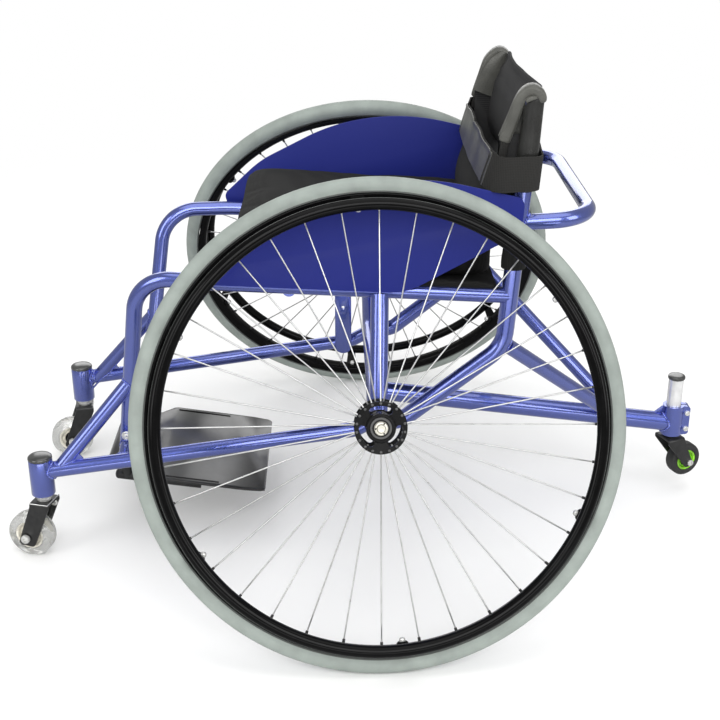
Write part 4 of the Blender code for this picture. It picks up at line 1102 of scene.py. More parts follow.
def make_bearings(side, label):
    """Sealed bearings at both ends of the hub: races, a dark seal and the inner ring."""
    place = wheel_matrix(side)
    back = place.inverted()
    inside = AXLE_RADIUS + GAP
    outside = HUB_BORE - GAP
    for end, hub_end, face in (("outer", HUB_OUTER_END, 1), ("inner", INNER_FLANGE - 0.005, -1)):
        front = hub_end - face * 0.0005
        rear = hub_end - face * 0.0085
        seal = front - face * 0.0005
        section = [(rear, inside), (rear, outside), (front - face * 0.0004, outside)]
        section += [(front, outside - 0.0004), (front, 0.0112), (seal, 0.0110), (seal, 0.0092)]
        bm = turned_ring(section + [(front, 0.0090), (front, inside)], 56, place)
        for surface in bm.faces:
            local = back @ surface.calc_center_median()
            if 0.0092 < local.xy.length < 0.0110 and abs(local.z - front) < 0.002:
                surface.material_index = 1
        name = f"{label}_{end}_bearing_ring"
        node = f"{label}_hub_bearing_{end}"
        piece(name, bm, (DARK_STEEL, SEAL_BLACK), f"{label}_drive_wheel", "steel", node, smooth_angle=30)


def lace_spoke(turn, flange, spokes, heads, nipples):
    """One spoke from a flange to the rim, with its head and nipple."""
    way = 1 if flange > 0 else -1
    exit_height = flange - way * (FLANGE_THICKNESS + 0.0010)
    seat = way * 0.0020
    bend = SPOKE_CIRCLE + 0.0015
    route = [(bend, 0, flange + way * 0.0008), (bend, 0, exit_height + way * 0.0006)]
    route += [(SPOKE_CIRCLE + 0.0022, 0, exit_height), (SPOKE_CIRCLE + 0.0055, 0, exit_height - way * 0.0002)]
    route.append((RIM_INNER - 0.0040, 0, seat))
    rod([turn @ Vector(p) for p in route], [0.0011, 0.0011, 0.0011, 0.00105, 0.0010], 10, spokes)
    head_place = turn @ Matrix.Translation((bend, 0, flange + way * 0.0001))
    if way < 0:
        head_place = head_place @ Matrix.Rotation(pi, 4, "X")
    turned([(0.0, 0.0018), (0.0006, 0.0017), (0.0010, 0.0011), (0.0012, 0.0004)], 12, head_place, heads)
    nipple = [turn @ Vector((RIM_INNER + x, 0, seat)) for x in (-0.0055, -0.0045, 0.0010)]
    rod(nipple, [0.0014, 0.0019, 0.0020], 8, nipples)


def make_hub(side, label):
    """Machined hub with its windows, and the laced spokes with heads and nipples."""
    place = wheel_matrix(side)
    body = f"{label}_drive_wheel"
    shell = carve(turned_ring(flange_section(), 96, place), hub_windows(place))
    piece(f"{label}_hub_shell", shell, HUB_BLACK, body, "black_alloy", f"{label}_hub", smooth_angle=28)
    spokes = bmesh.new()
    nipples = bmesh.new()
    heads = bmesh.new()
    for flange, start in ((OUTER_FLANGE, 0.0), (INNER_FLANGE, pi / SPOKES_PER_FLANGE)):
        for k in range(SPOKES_PER_FLANGE):
            turn = place @ Matrix.Rotation(start + k * 2 * pi / SPOKES_PER_FLANGE, 4, "Z")
            lace_spoke(turn, flange, spokes, heads, nipples)
    piece(f"{label}_spokes", spokes, SPOKE_STEEL, body, "steel")
    piece(f"{label}_spoke_heads", heads, DARK_STEEL, body, "steel")
    piece(f"{label}_nipples", nipples, FORK_BLACK, body, "black_alloy")


def make_axle(side, label):
    """Quick-release axle with its round head, three small dimples drawn as black spots of painted shade, and
    the sliding button.
    """
    place = wheel_matrix(side)
    head = HUB_OUTER_END + GAP
    profile = [(-0.130, AXLE_RADIUS - 0.0018), (-0.1285, AXLE_RADIUS - 0.0004), (-0.127, AXLE_RADIUS)]
    profile += [(head, AXLE_RADIUS), (head, 0.0086), (head + 0.0004, 0.0090), (head + 0.0046, 0.0087)]
    profile += [(head + 0.0057, 0.0080), (head + 0.0060, 0.0070), (head + 0.0060, 0.0060)]
    profile += [(head + 0.0056, 0.0056), (head - 0.0080, 0.0056)]
    bm = turned(profile, 56, place)
    piece(f"{label}_axle_pin", bm, CAP_SILVER, "frame", "steel", f"{label}_axle", smooth_angle=35)
    # Three black spots on the head: painted shade that stands for the dimples.
    dimple_shade = bmesh.new()
    for k in range(3):
        spot = Matrix.Rotation(radians(30 + 120 * k), 4, "Z") @ Matrix.Translation((0.0072, 0, head + 0.0052))
        turned([(0.0, 0.0011), (0.0010, 0.0011)], 12, place @ spot, dimple_shade)
    piece(f"{label}_axle_dimple_shade", dimple_shade, SEAL_BLACK, "frame", "black_alloy")
    button = [(head - 0.0030, 0.0052), (head + 0.0082, 0.0052), (head + 0.0090, 0.0047)]
    button += [(head + 0.0095, 0.0036), (head + 0.0092, 0.0020), (head + 0.0091, 0.0004)]
    bm = turned(button, 40, place)
    node = f"{label}_release_button"
    piece(f"{label}_button_pin", bm, CAP_SILVER, f"{label}_button", "steel", node, smooth_angle=30)


# Casters


def fork_shape(crown, half_gap, corners, rounding, stem_top):
    """Bent plate fork: an upside-down U seen from the front, trimmed to its side outline, on its stem."""
    low, high = crown
    outer = half_gap + FORK_PLATE
    arch = [(-outer, 0.0), (-outer, high), (outer, high), (outer, 0.0)]
    arch += [(half_gap, 0.0), (half_gap, low), (-half_gap, low), (-half_gap, 0.0)]
    inner = FORK_CORNER * 0.5
    profile = rounded_outline(arch, [0, FORK_CORNER, FORK_CORNER, 0, 0, inner, inner, 0], 8)
    trim = plate(rounded_outline(corners, rounding, steps=8), -0.05, 0.05)
    fork = softened(carve(plate(profile, -0.08, 0.08, "Y"), trim, "INTERSECT"), 0.0006, 30, 2)
    return turned([(low + 0.0015, STEM_RADIUS), (stem_top, STEM_RADIUS)], 32, None, fork)


def bolt_end(sizes, bm, place, nut):
    """End of a bolt along X: a head with a recess, or a nut with the thread's end in it."""
    length, radius, wide, height = sizes
    along = place @ Matrix.Translation((length, 0, 0)) @ ALONG_X
    if nut:
        flat = wide * 0.98
        thread = [(height * 0.9, radius), (height * 1.25, radius), (height * 1.35, radius * 0.7)]
        turned([(0.0, flat), (height * 0.8, flat), (height, wide * 0.86)], 6, along, bm)
        turned(thread, 16, along, bm)
        return
    profile = [(0.0, wide), (height * 0.55, wide), (height * 0.85, wide * 0.90)]
    profile += [(height, wide * 0.66), (height, wide * 0.44), (height * 0.45, wide * 0.40)]
    turned(profile, 28, along, bm)


def cross_bolt(place, reach, sides, sizes, nut_side, washer=None, washers=None):
    """Bolt along X with a head at one end and a nut at the other, on washers where they are given."""
    bolt = bmesh.new()
    radius = sizes[1]
    turned([(-reach, radius), (reach, radius)], sides, place @ ALONG_X, bolt)
    for way in (1, -1):
        end = place @ Matrix.Diagonal((way, 1, 1, 1))
        if washer:
            seat, profile, washer_sides = washer
            turned(profile, washer_sides, end @ Matrix.Translation((seat, 0, 0)) @ ALONG_X, washers or bolt)
        bolt_end(sizes, bolt, end, way == nut_side)
    return bolt


def both_sides(half):
    """A section's points on one side, and the same points mirrored."""
    return half + [(-h, r) for h, r in half[::-1]]


def wheel_sections(radius, half_width, core_radius, half_hub, axle_radius):
    """Closed sections of the soft tyre, the rigid core and the bearing."""
    half = []
    for k in range(9):
        a = pi / 2 * k / 8
        half.append((half_width - 0.0058 + 0.0058 * sin(a), radius - 0.0062 + 0.0062 * cos(a)))
    half += [(half_width, core_radius + 0.0020), (half_width - 0.0006, core_radius + 0.0008)]
    tyre = both_sides(half + [(half_width - 0.0010, core_radius + GAP)])
    web = half_width * 0.42
    hole = BEARING_SHARE * core_radius
    half = [(half_width - 0.0014, core_radius - 0.0004), (half_width - 0.0012, core_radius - 0.0014)]
    half += [(half_width - 0.0020, core_radius - 0.0032), (web, core_radius - 0.0048)]
    core = [(0.0, core_radius)] + both_sides(half + [(web, hole + 0.0008), (web + 0.0030, hole)])
    half = [(half_hub, axle_radius + GAP), (half_hub, 0.0066)]
    half += [(web + 0.0038, 0.0078), (web + 0.0034, hole - 0.0003)]
    return tyre, core, both_sides(half)


def make_small_wheel(label, body, place, sizes, finishes, slots):
    """Soft tyre, rigid core and bearing of a caster."""
    tyre, core, bearing = wheel_sections(*sizes)
    to_x = place @ ALONG_X
    for end, section, segments, finish, slot, node in (
        ("", tyre, 72, finishes[0], slots[0], "tyre"),
        ("_core", core, 60, finishes[1], slots[1], "core"),
    ):
        bm = turned_ring(section, segments, to_x)
        piece(f"{label}_roller{end}", bm, finish, body, slot, f"{label}_{node}", smooth_angle=35)
    bm = turned_ring(bearing, 40, to_x)
    piece(f"{label}_roller_bearing", bm, SEAL_BLACK, body, "black_plastic", smooth_angle=30)


def make_barrel_cap(label, head):
    """Domed cap that closes the barrel."""
    inside = BARREL_BORE - GAP
    cap = [(BARREL_TOP - 0.008, inside), (BARREL_TOP + GAP, inside), (BARREL_TOP + GAP, BARREL_RADIUS)]
    cap += [(BARREL_TOP + 0.0012, BARREL_RADIUS + 0.0003), (BARREL_TOP + 0.0032, BARREL_RADIUS)]
    for height, share in ((0.0048, 0.91), (0.0060, 0.74), (0.0068, 0.48), (0.0072, 0.16)):
        cap.append((BARREL_TOP + height, BARREL_RADIUS * share))
    bm = turned(cap, 56, head)
    piece(f"{label}_cap_dome", bm, CAP_BLACK, "frame", "black_plastic", f"{label}_barrel_cap")


def make_caster_fork(label, swivel):
    axle = (-CASTER_TRAIL, CASTER_RADIUS)
    corners = [(0.0140, 0.0935), (0.0140, 0.0860), (axle[0] + 0.0110, axle[1] - 0.0140)]
    corners += [(axle[0] - 0.0145, axle[1] - 0.0120), (-0.0150, 0.0880), (-0.0150, 0.0935)]
    rounding = [0, 0.004, 0.006, 0.006, 0.004, 0]
    fork = fork_shape((0.0895, 0.0935), CASTER_HALF_GAP, corners, rounding, BARREL_TOP - 0.0110)
    transform(fork, swivel)
    body = f"{label}_caster_swivel"
    node = f"{label}_caster_fork"
    piece(f"{label}_fork_plate", fork, FORK_BLACK, body, "black_alloy", node, smooth_angle=32)


def make_crown_washer(side, label, swivel):
    """Washer on the fork's crown, bright lines along the crown's edge, and a round stud on its leg."""
    washer = [(0.0938, 0.0105), (0.0950, 0.0110), (0.0995, 0.0110), (0.1002, 0.0104)]
    parts = turned_ring(washer + [(0.1002, 0.0064), (0.0938, 0.0064)], 48, swivel)
    near_x = side * (CASTER_HALF_GAP + 0.0022)
    edges = [(near_x, -0.0140, 0.0931), (near_x, 0.0134, 0.0931), (-near_x, 0.0134, 0.0931)]
    rod([swivel @ Vector(p) for p in edges], 0.0008, 10, parts)
    stop = swivel @ Matrix.Translation((-side * (CASTER_HALF_GAP - 0.0002), 0.0070, 0.0810))
    stop = stop @ Matrix.Rotation(side * pi / 2, 4, "Y")
    turned([(0.0, 0.0050), (0.0022, 0.0050), (0.0034, 0.0040), (0.0038, 0.0020)], 28, stop, parts)
    steel_piece(f"{label}_crown_washer", parts, f"{label}_caster_swivel")


def make_caster_bearing(label, head):
    inside = 0.0063
    foot = BARREL_BOTTOM - 0.0030
    top = BARREL_TOP - 0.0120
    race = [(foot, inside), (foot, BARREL_BORE - 0.0012), (BARREL_BOTTOM - 0.0022, BARREL_BORE - GAP)]
    bm = turned_ring(race + [(top, BARREL_BORE - GAP), (top, inside)], 48, head)
    steel_piece(f"{label}_head_bearing", bm, "frame", f"{label}_caster_bearing")


def make_caster_wheel(side, label, swivel):
    """Clear roller on its white core, with the bolt and its two washers."""
    body = f"{label}_caster_wheel"
    gap = CASTER_HALF_GAP
    place = swivel @ Matrix.Translation((0, -CASTER_TRAIL, CASTER_RADIUS))
    sizes = (CASTER_RADIUS, CASTER_HALF_WIDTH, 0.0215, gap - GAP, 0.004)
    make_small_wheel(f"{label}_caster", body, place, sizes, (CLEAR, CORE_WHITE), ("soft_wheel", "white_core"))
    washers = bmesh.new()
    washer = (gap + 0.0034, [(0.0, 0.0072), (0.0008, 0.0072), (0.0010, 0.0068)], 32)
    sizes = (gap + 0.0045, 0.0038, 0.0066, 0.0058)
    bolt = cross_bolt(place, gap + 0.0032, 24, sizes, -side, washer, washers)
    steel_piece(f"{label}_caster_bolt", bolt, body, f"{label}_caster_axle")
    piece(f"{label}_bolt_washers", washers, SEAL_BLACK, body, "black_plastic", smooth_angle=30)


def make_front_caster(side, label):
    """Barrel cap and bearing, and the turned fork with its washer and wheel."""
    head = Matrix.Translation((side * BARREL_X, BARREL_Y, 0))
    swivel = head @ Matrix.Rotation(CASTER_TURN[side], 4, "Z")
    make_barrel_cap(label, head)
    make_caster_fork(label, swivel)
    make_crown_washer(side, label, swivel)
    make_caster_bearing(label, head)
    make_caster_wheel(side, label, swivel)


def make_antitip_post(stem):
    """Chrome post, hollow at its foot, and its domed cap."""
    low = ANTITIP_POST_FOOT
    top = ANTITIP_POST_TOP
    post = [(low + 0.050, 0.0063), (low, 0.0063), (low, ANTITIP_POST - 0.0006), (low + 0.0006, ANTITIP_POST)]
    body = "antitip_stem"
    bm = turned(post + [(top, ANTITIP_POST)], 64, stem)
    piece("chrome_post", bm, CHROME, body, "chrome", "antitip_post", smooth_angle=30)
    cap = [(top + GAP, 0.0126), (top + 0.0009, 0.0134), (top + 0.0024, 0.0138), (top + 0.0042, 0.0137)]
    cap += [(top + 0.0055, 0.0131), (top + 0.0062, 0.0118), (top + 0.0066, 0.0090), (top + 0.0066, 0.0030)]
    bm = turned(cap, 56, stem)
    piece("post_cap_dome", bm, CAP_BLACK, body, "black_plastic", "antitip_post_cap", smooth_angle=30)


def make_antitip_fork(pivot):
    axle = ANTITIP_AXLE
    corners = [(-0.0150, 0.1045), (-0.0150, 0.0965), (axle.y - 0.0085, axle.z - 0.0070)]
    corners += [(axle.y + 0.0090, axle.z - 0.0085), (0.0155, 0.1000), (0.0155, 0.1045)]
    rounding = [0, 0.004, 0.007, 0.0078, 0.004, 0]
    fork = fork_shape((0.1005, 0.1045), ANTITIP_HALF_GAP, corners, rounding, ANTITIP_POST_FOOT + 0.047)
    transform(fork, pivot)
    body = "antitip_swivel"
    piece("antitip_fork_plate", fork, FORK_BLACK, body, "black_alloy", "antitip_fork", smooth_angle=32)


def make_antitip():
    """Chrome post with its cap, the green-cored caster below and the clamp's two bolts."""
    stem = Matrix.Translation((0, ANTITIP_Y, 0))
    pivot = stem @ Matrix.Rotation(ANTITIP_TURN, 4, "Z")
    make_antitip_post(stem)
    make_antitip_fork(pivot)
    gap = ANTITIP_HALF_GAP
    place = pivot @ Matrix.Translation(ANTITIP_AXLE)
    sizes = (0.028, 0.0115, 0.0175, gap - GAP, 0.0035)
    finishes = (SMALL_TYRE_BLACK, CORE_GREEN)
    make_small_wheel("antitip", "antitip_wheel", place, sizes, finishes, ("black_rubber", "green_core"))
    bolt = cross_bolt(place, gap + 0.0032, 24, (gap + 0.0034, 0.0033, 0.0053, 0.0032), -1)
    steel_piece("antitip_bolt", bolt, "antitip_wheel", "antitip_axle")
    for height, label in zip(CLAMP_BOLT_HEIGHTS, ("lower", "upper")):
        place = Matrix.Translation((0, ANTITIP_Y + CLAMP_BOLT_Y, height))
        bolt = cross_bolt(place, 0.0092, 20, (0.0086, 0.0024, 0.0045, 0.0036), -1)
        steel_piece(f"clamp_screw_{label}", bolt, "frame", f"clamp_bolt_{label}")


# Guards and footrest


def make_guard(side, label):
    """Side guard plate with a curved top edge and softened edges."""
    corners = [(-0.2300, 0.4352), (-0.2350, 0.4530), (-0.1770, 0.5080), (-0.0640, 0.5665), (0.0500, 0.5880)]
    corners += [(0.1960, 0.5560), (0.1930, 0.5050), (0.1600, 0.4900), (0.0380, 0.4225)]
    rounding = [0.004, 0.012, 0.16, 0.30, 0.34, 0.014, 0.010, 0.06, 0.09]
    outline = rounded_outline(corners, rounding, steps=16)
    bm = plate(outline, side * GUARD_X, side * (GUARD_X + GUARD_THICKNESS), edge=0.0008)
    piece(f"{label}_guard_plate", bm, GUARD_BLUE, "frame", "guard_paint", f"{label}_guard")


def make_footplate():
    """Tilted plate with a narrower toe, a heel flange and a long slot along each side."""
    place = Matrix.Translation(PLATE_HEEL) @ Matrix.Rotation(-PLATE_TILT, 4, "X")
    stretch = 1 / cos(PLATE_TILT)
    half = [(0.118, 0.0), (0.122, -0.030), (0.122, -0.159), (0.086, -0.187), (0.076, -0.238)]
    corners = [(x, y * stretch) for x, y in half] + [(-x, y * stretch) for x, y in half[::-1]]
    rounding = [0.010, 0.02, 0.012, 0.02, 0.012]
    outline = rounded_outline(corners, rounding + rounding[::-1], steps=8)
    body = plate(outline, -PLATE_THICKNESS, 0.0, "Z", 0.0006)
    slots = bmesh.new()
    for side in (1, -1):
        ends = [(-0.156, -0.0026), (-0.156, 0.0026), (-0.070, 0.0026), (-0.070, -0.0026)]
        slot = rounded_outline([(side * 0.1125 + x, y) for y, x in ends], [0.0024] * 4, 6)
        plate(slot, -0.02, 0.02, "Z", bm=slots)
    body = carve(body, slots)
    corners = [(-0.104, -0.0120), (-0.104, -0.0005), (0.104, -0.0005), (0.104, -0.0120)]
    lip = rounded_outline(corners, [0.004, 0, 0, 0.004], 6)
    plate(lip, -0.0035, -0.0004, "Y", 0.0004, bm=body)
    transform(body, place)
    piece("foot_plate_gloss", body, PLATE_BLACK, "frame", "gloss_black", "footplate", smooth_angle=35)


def hanger_height(y):
    """Centre of the footrest tube, which lies under the tilted plate."""
    drop = PLATE_THICKNESS / cos(PLATE_TILT) + HANGER_TUBE / cos(PLATE_TILT) + GAP
    return PLATE_HEEL.z + (PLATE_HEEL.y - y) * tan(PLATE_TILT) - drop


def domed(path, radius, reach=0.7):
    """Path and radii of a bar whose last end is a dome."""
    direction = (Vector(path[-1]) - Vector(path[-2])).normalized()
    points = [Vector(p) for p in path]
    radii = [radius] * len(points)
    for share in (0.25, 0.5, 0.7, 0.85, 0.95, 0.995):
        points.append(Vector(path[-1]) + direction * radius * share * reach)
        radii.append(radius * sqrt(1 - share**2))
    return points, radii


def make_hanger(side, label):
    """Footrest stem in the down tube, the capped tube that runs under the plate, and the bolt."""
    rear, front, joint = [(HANGER_X, y, hanger_height(y)) for y in (-0.262, -0.384, -0.372)]
    points, radii = domed(mirrored([rear, front], side), HANGER_TUBE)
    bm = rod(points, radii, 32)
    stem = rounded_path([joint, on_down_tube(0.1240), on_down_tube(0.2000)], [0.02])
    rod(mirrored(stem, side), HANGER_TUBE, 32, bm)
    node = f"{label}_footrest_hanger"
    piece(f"{label}_hanger_tube", bm, FORK_BLACK, "frame", "black_alloy", node, smooth_angle=30)
    place = Matrix.Translation(mirrored([on_down_tube(HANGER_BOLT_Z)], side)[0])
    washer = (RAIL_TUBE + 0.0002, [(0.0, 0.0074), (0.0010, 0.0074), (0.0012, 0.0070)], 28)
    sizes = (RAIL_TUBE + 0.0012, 0.0029, 0.0060, 0.0038)
    bolt = cross_bolt(place, 0.013, 20, sizes, -side, washer)
    steel_piece(f"{label}_hanger_screw", bolt, "frame", f"{label}_hanger_bolt")


# Soft parts


def ruffle(bm, amount, scale, seed=0.0, stretch=(1, 1, 1)):
    """Moves each point along its normal by smooth noise."""
    bm.normal_update()
    shifts = []
    for vertex in bm.verts:
        spot = Vector((vertex.co.x * stretch[0], vertex.co.y * stretch[1], vertex.co.z * stretch[2]))
        value = noise.noise(spot * scale + Vector((seed, seed * 0.7, 0)))
        shifts.append(vertex.normal * amount * value)
    for vertex, shift in zip(bm.verts, shifts):
        vertex.co += shift
    return bm


def quilt(grid, thickness, bm=None):
    """A sheet from a grid of points, thickened to one side with closed edges."""
    count = len(grid[0])
    normals = []
    for i, row in enumerate(grid):
        line = []
        for j in range(count):
            along = row[min(j + 1, count - 1)] - row[max(j - 1, 0)]
            up = grid[min(i + 1, len(grid) - 1)][j] - grid[max(i - 1, 0)][j]
            line.append(along.cross(up).normalized())
        normals.append(line)
    rings = []
    for row, line in zip(grid, normals):
        back = [p + n * thickness for p, n in zip(row, line)]
        rings.append(row + back[::-1])
    return skin(rings, bm=bm)


def inflate(source, name, voxel, cap, frames=20, pressure=4.0):
    """Swells a closed shape like a stuffed cover by a short cloth simulation."""
    bmesh.ops.recalc_face_normals(source, faces=source.faces)
    obj = linked(name, mesh_of(name, source))
    remesh = obj.modifiers.new("remesh", "REMESH")
    remesh.mode = "VOXEL"
    remesh.voxel_size = voxel
    bpy.context.view_layer.update()
    evaluated = obj.evaluated_get(bpy.context.evaluated_depsgraph_get())
    even = bpy.data.meshes.new_from_object(evaluated)
    obj.modifiers.clear()
    obj.data = even
    before = [v.co.copy() for v in even.vertices]
    after = before
    cloth = obj.modifiers.new("cloth", "CLOTH")
    cloth.settings.use_pressure = True
    cloth.settings.uniform_pressure_force = pressure
    cloth.settings.effector_weights.gravity = 0.0
    cloth.settings.tension_stiffness = 20
    cloth.settings.quality = 5
    cloth.point_cache.frame_start = 1
    cloth.point_cache.frame_end = frames
    for frame_number in range(1, frames + 1):
        bpy.context.scene.frame_set(frame_number)
    evaluated = obj.evaluated_get(bpy.context.evaluated_depsgraph_get())
    after = [v.co.copy() for v in evaluated.to_mesh().vertices]
    evaluated.to_mesh_clear()
    bpy.context.scene.frame_set(1)
    bm = bmesh.new()
    bm.from_mesh(even)
    bpy.data.objects.remove(obj, do_unlink=True)
    bm.verts.ensure_lookup_table()
    for vertex, old, new in zip(bm.verts, before, after):
        move = new - old
        if move.length > cap:
            move *= cap / move.length
        vertex.co = old + move
    return bm


def cushion_point(unit, half_depth, mid_y, shrink):
    """Maps a point of a unit cube onto the cushion: crowned top, drawn-in sides, soft edges."""
    x, y, z = unit
    base = rail_height(mid_y + y * half_depth) + RAIL_TUBE + 0.0042
    top = CUSHION_TOP - 0.010 * y - shrink
    draw = 0.006 * (1 - z * z)
    reach = (1 - abs(z) ** 6 * 0.020, 1 - abs(z) ** 6 * 0.014)
    sx = x * (CUSHION_HALF_WIDTH - shrink - draw * (1 - y * y)) * reach[0]
    sy = y * (half_depth - shrink - draw * (1 - x * x)) * reach[1]
    corner = (x * x * y * y) ** 3 * 0.012
    sx -= corner * x
    sy -= corner * y
    fall = 0.0050 * max(abs(x), abs(y)) ** 9
    if z > 0:
        crown = 0.004 * (1 - x * x) * (1 - y * y)
        height = base + (top - base) * (0.5 + z / 2) + (crown - fall) * z
    else:
        height = base + (top - base) * (0.5 + z / 2) + fall * 0.35 * -z
    return Vector((sx, mid_y + sy, height))


def make_cushion():
    """Foam cushion in a cloth cover, which is swelled by simulation and then creased."""
    front = -0.200
    rear = 0.172
    mid_y = (front + rear) / 2
    half_depth = (rear - front) / 2
    shrink = 0.0025
    bm = bmesh.new()
    bmesh.ops.create_cube(bm, size=2.0)
    bmesh.ops.subdivide_edges(bm, edges=bm.edges, cuts=20, use_grid_fill=True)
    for vertex in bm.verts:
        vertex.co = cushion_point(vertex.co, half_depth, mid_y, shrink)
    bm = inflate(bm, "cushion_cover", 0.006, 0.0040)
    floor = min(v.co.z for v in bm.verts)
    for vertex in bm.verts:
        p = vertex.co
        base = rail_height(p.y) + RAIL_TUBE + 0.0040
        side_face = 1.0 if p.z < CUSHION_TOP - 0.012 else 0.0
        near_front = max(0.0, 1 - (p.y - front) / 0.14)
        wave = sin((p.z - floor) * 520 + 6 * noise.noise(p * 13)) * 0.0013 * side_face * (0.45 + near_front)
        broad = 0.0016 * noise.noise(Vector((p.x * 9, p.y * 9, p.z * 26)))
        outward = Vector((p.x, p.y - mid_y, 0)).normalized()
        p += outward * (wave + broad)
        p.z += 0.0012 * noise.noise(Vector((p.x * 11, p.y * 11, 3.0)))
        p.z = max(p.z, base)
    cushion = soft_piece("cushion", bm, CUSHION_CLOTH, "seat_cushion", smooth=1)


def make_seat_sling():
    """Sheet stretched over the rails, which sags a little in the middle."""
    half_width = RAIL_X + 0.004
    front = -0.195
    rear = 0.1660
    grid = []
    for x in spread(-half_width, half_width, 40):
        row = []
        for y in spread(front, rear, 36):
            sag = 0.004 * (1 - (x / half_width) ** 2)
            lift = 0.0006 * noise.noise(Vector((x * 30, y * 30, 0)))
            row.append(Vector((x, y, rail_height(y) + RAIL_TUBE + GAP + 0.0004 - sag + lift)))
        grid.append(row)
    sling = soft_piece("sling_sheet", quilt(grid, 0.0022), FLAP_CLOTH, "seat_sling")


def make_rail_roll(side, label):
    """Sewn roll where the seat sling wraps a rail."""
    path = []
    radii = []
    for k in range(28):
        y = -0.012 + (0.1600 + 0.012) * k / 27
        z = rail_height(y) + RAIL_TUBE + 0.0038 + 0.0006 * sin(k * 0.9)
        path.append((side * (RAIL_X + 0.0022), y, z))
        radii.append(0.0040 * min(1.0, 0.5 + k * 0.25, 0.5 + (27 - k) * 0.25) + 0.0004 * sin(k * 1.7))
    roll = soft_piece(f"{label}_rail_roll", rod(path, radii, 20), FLAP_CLOTH)


def make_post_roll(side, label):
    """Padded sleeve round the back post above the band."""
    rings = []
    low = 0.5640
    high = 0.6945 - side_drop(side)
    for k, t in enumerate(shares(24)):
        z = low + (high - low) * t
        centre = Vector((side * SIDE_X, post_y(z) + 0.0006, z))
        ring = []
        for a in around(36):
            lump = 0.0004 * noise.noise(Vector((cos(a) * 1.5, sin(a) * 1.5, t * 6)))
            radius = 0.0141 + 0.0006 * sin(5.0 * t) + lump
            radius += 0.0007 * sin(a * 2 + 1.0)
            if k >= 22:
                radius *= (1.0, 0.96, 0.78)[k - 22]
            ring.append(centre + Vector((radius * cos(a), radius * sin(a), 0)))
        rings.append(ring)
    roll = soft_piece(f"{label}_post_roll", skin(rings), LEATHER, smooth_angle=50)


def band_ring(point, direction, width, thick, side, sides=24):
    """Rounded flat section across a strap that runs in the side plane."""
    across = Vector((0, direction.z, -direction.y))
    ring = []
    for a in around(sides):
        c = abs(cos(a)) ** 0.6 * (1 if cos(a) > 0 else -1)
        s = abs(sin(a)) ** 0.8 * (1 if sin(a) > 0 else -1)
        ring.append(point + across * width * c + Vector((side * thick * s, 0, 0)))
    return ring


# The hood's spine from the strap's foot over the post's top: y, height, half width, half thickness, x
HOOD_SPINE = [
    (0.1662, 0.6262, 0.0072, 0.0026, 0.1668),
    (0.1672, 0.6290, 0.0080, 0.0032, 0.1668),
    (0.1702, 0.6390, 0.0082, 0.0038, 0.1668),
    (0.1742, 0.6510, 0.0084, 0.0042, 0.1668),
    (0.1782, 0.6630, 0.0085, 0.0046, 0.1670),
    (0.1822, 0.6750, 0.0087, 0.0056, 0.1680),
    (0.1862, 0.6850, 0.0090, 0.0080, 0.1700),
    (0.1912, 0.6930, 0.0094, 0.0112, 0.1722),
    (0.1972, 0.6975, 0.0092, 0.0138, 0.1736),
    (0.2032, 0.6975, 0.0088, 0.0150, 0.1742),
    (0.2084, 0.6935, 0.0082, 0.0152, 0.1745),
    (0.2118, 0.6870, 0.0070, 0.0148, 0.1745),
    (0.2128, 0.6810, 0.0050, 0.0136, 0.1745),

]
# The fold on the hood: y, height, half width and half thickness
HOOD_FOLD = [
    (0.1895, 0.6835, 0.0022, 0.0030),
    (0.1925, 0.6865, 0.0030, 0.0042),
    (0.1965, 0.6885, 0.0032, 0.0044),
    (0.2010, 0.6895, 0.0030, 0.0040),
    (0.2050, 0.6900, 0.0016, 0.0026),
]


def hood_points(side):
    return [Vector((side * x, y, z - side_drop(side))) for y, z, _, _, x in HOOD_SPINE]


def strap_width(side):
    """Share of the strap's width: the right one is wider than the left one."""
    return 1.0 if side > 0 else 1.35


def make_hood(side, label):
    """Hood over the post's top that runs on as a stitched strap, down to the band."""
    points = hood_points(side)
    rings = []
    for i, (row, point) in enumerate(zip(HOOD_SPINE, points)):
        direction = points[min(i + 1, len(points) - 1)] - points[max(i - 1, 0)]
        direction = Vector((0, direction.y, direction.z)).normalized()
        width = row[2] * (strap_width(side) if i < 7 else 1.0)
        rings.append(band_ring(point, direction, width, row[3], side))
    bm = ruffle(skin(rings), 0.0010, 120, seed=side * 3.0)
    hood = soft_piece(f"{label}_hood", bm, LEATHER_LIGHT, smooth=1)


def make_hood_fold(side, label):
    """Small fold of leatherette on the hood's outer side."""
    direction = Vector((0, 0.9, 0.35)).normalized()
    tongue = []
    for y, z, width, thick in HOOD_FOLD:
        centre = Vector((side * 0.1856, y, z - side_drop(side)))
        tongue.append(band_ring(centre, direction, width, thick, side, 16))
    flap = soft_piece(f"{label}_hood_fold", skin(tongue), LEATHER_LIGHT, smooth=1)


def make_hood_stitches(side, label):
    """Two rows of stitches across the strap's foot, and one along each of its edges."""
    points = hood_points(side)
    wide = strap_width(side)
    thread = bmesh.new()
    along = Vector((0, 0.0040, 0.0120)).normalized()
    across = Vector((0, along.z, -along.y))
    for offset in (0.0020, 0.0052):
        for k in range(7):
            start = points[1] + along * offset + across * (-0.0066 + 0.0019 * k) * wide
            start += Vector((side * 0.0040, 0, 0))
            rod([start, start + across * 0.0010], 0.00035, 8, thread)
    along = (points[5] - points[1]).normalized()
    across = Vector((0, along.z, -along.y))
    for edge in (-0.0068, 0.0068):
        for k in range(22):
            share = k / 22
            start = points[1].lerp(points[5], share) + across * edge * wide
            start += Vector((side * (0.0036 + 0.0018 * share), 0, 0))
            rod([start, start + along * 0.0013], 0.0003, 8, thread)
    soft_piece(f"{label}_hood_stitches", thread, THREAD, smooth_angle=40)


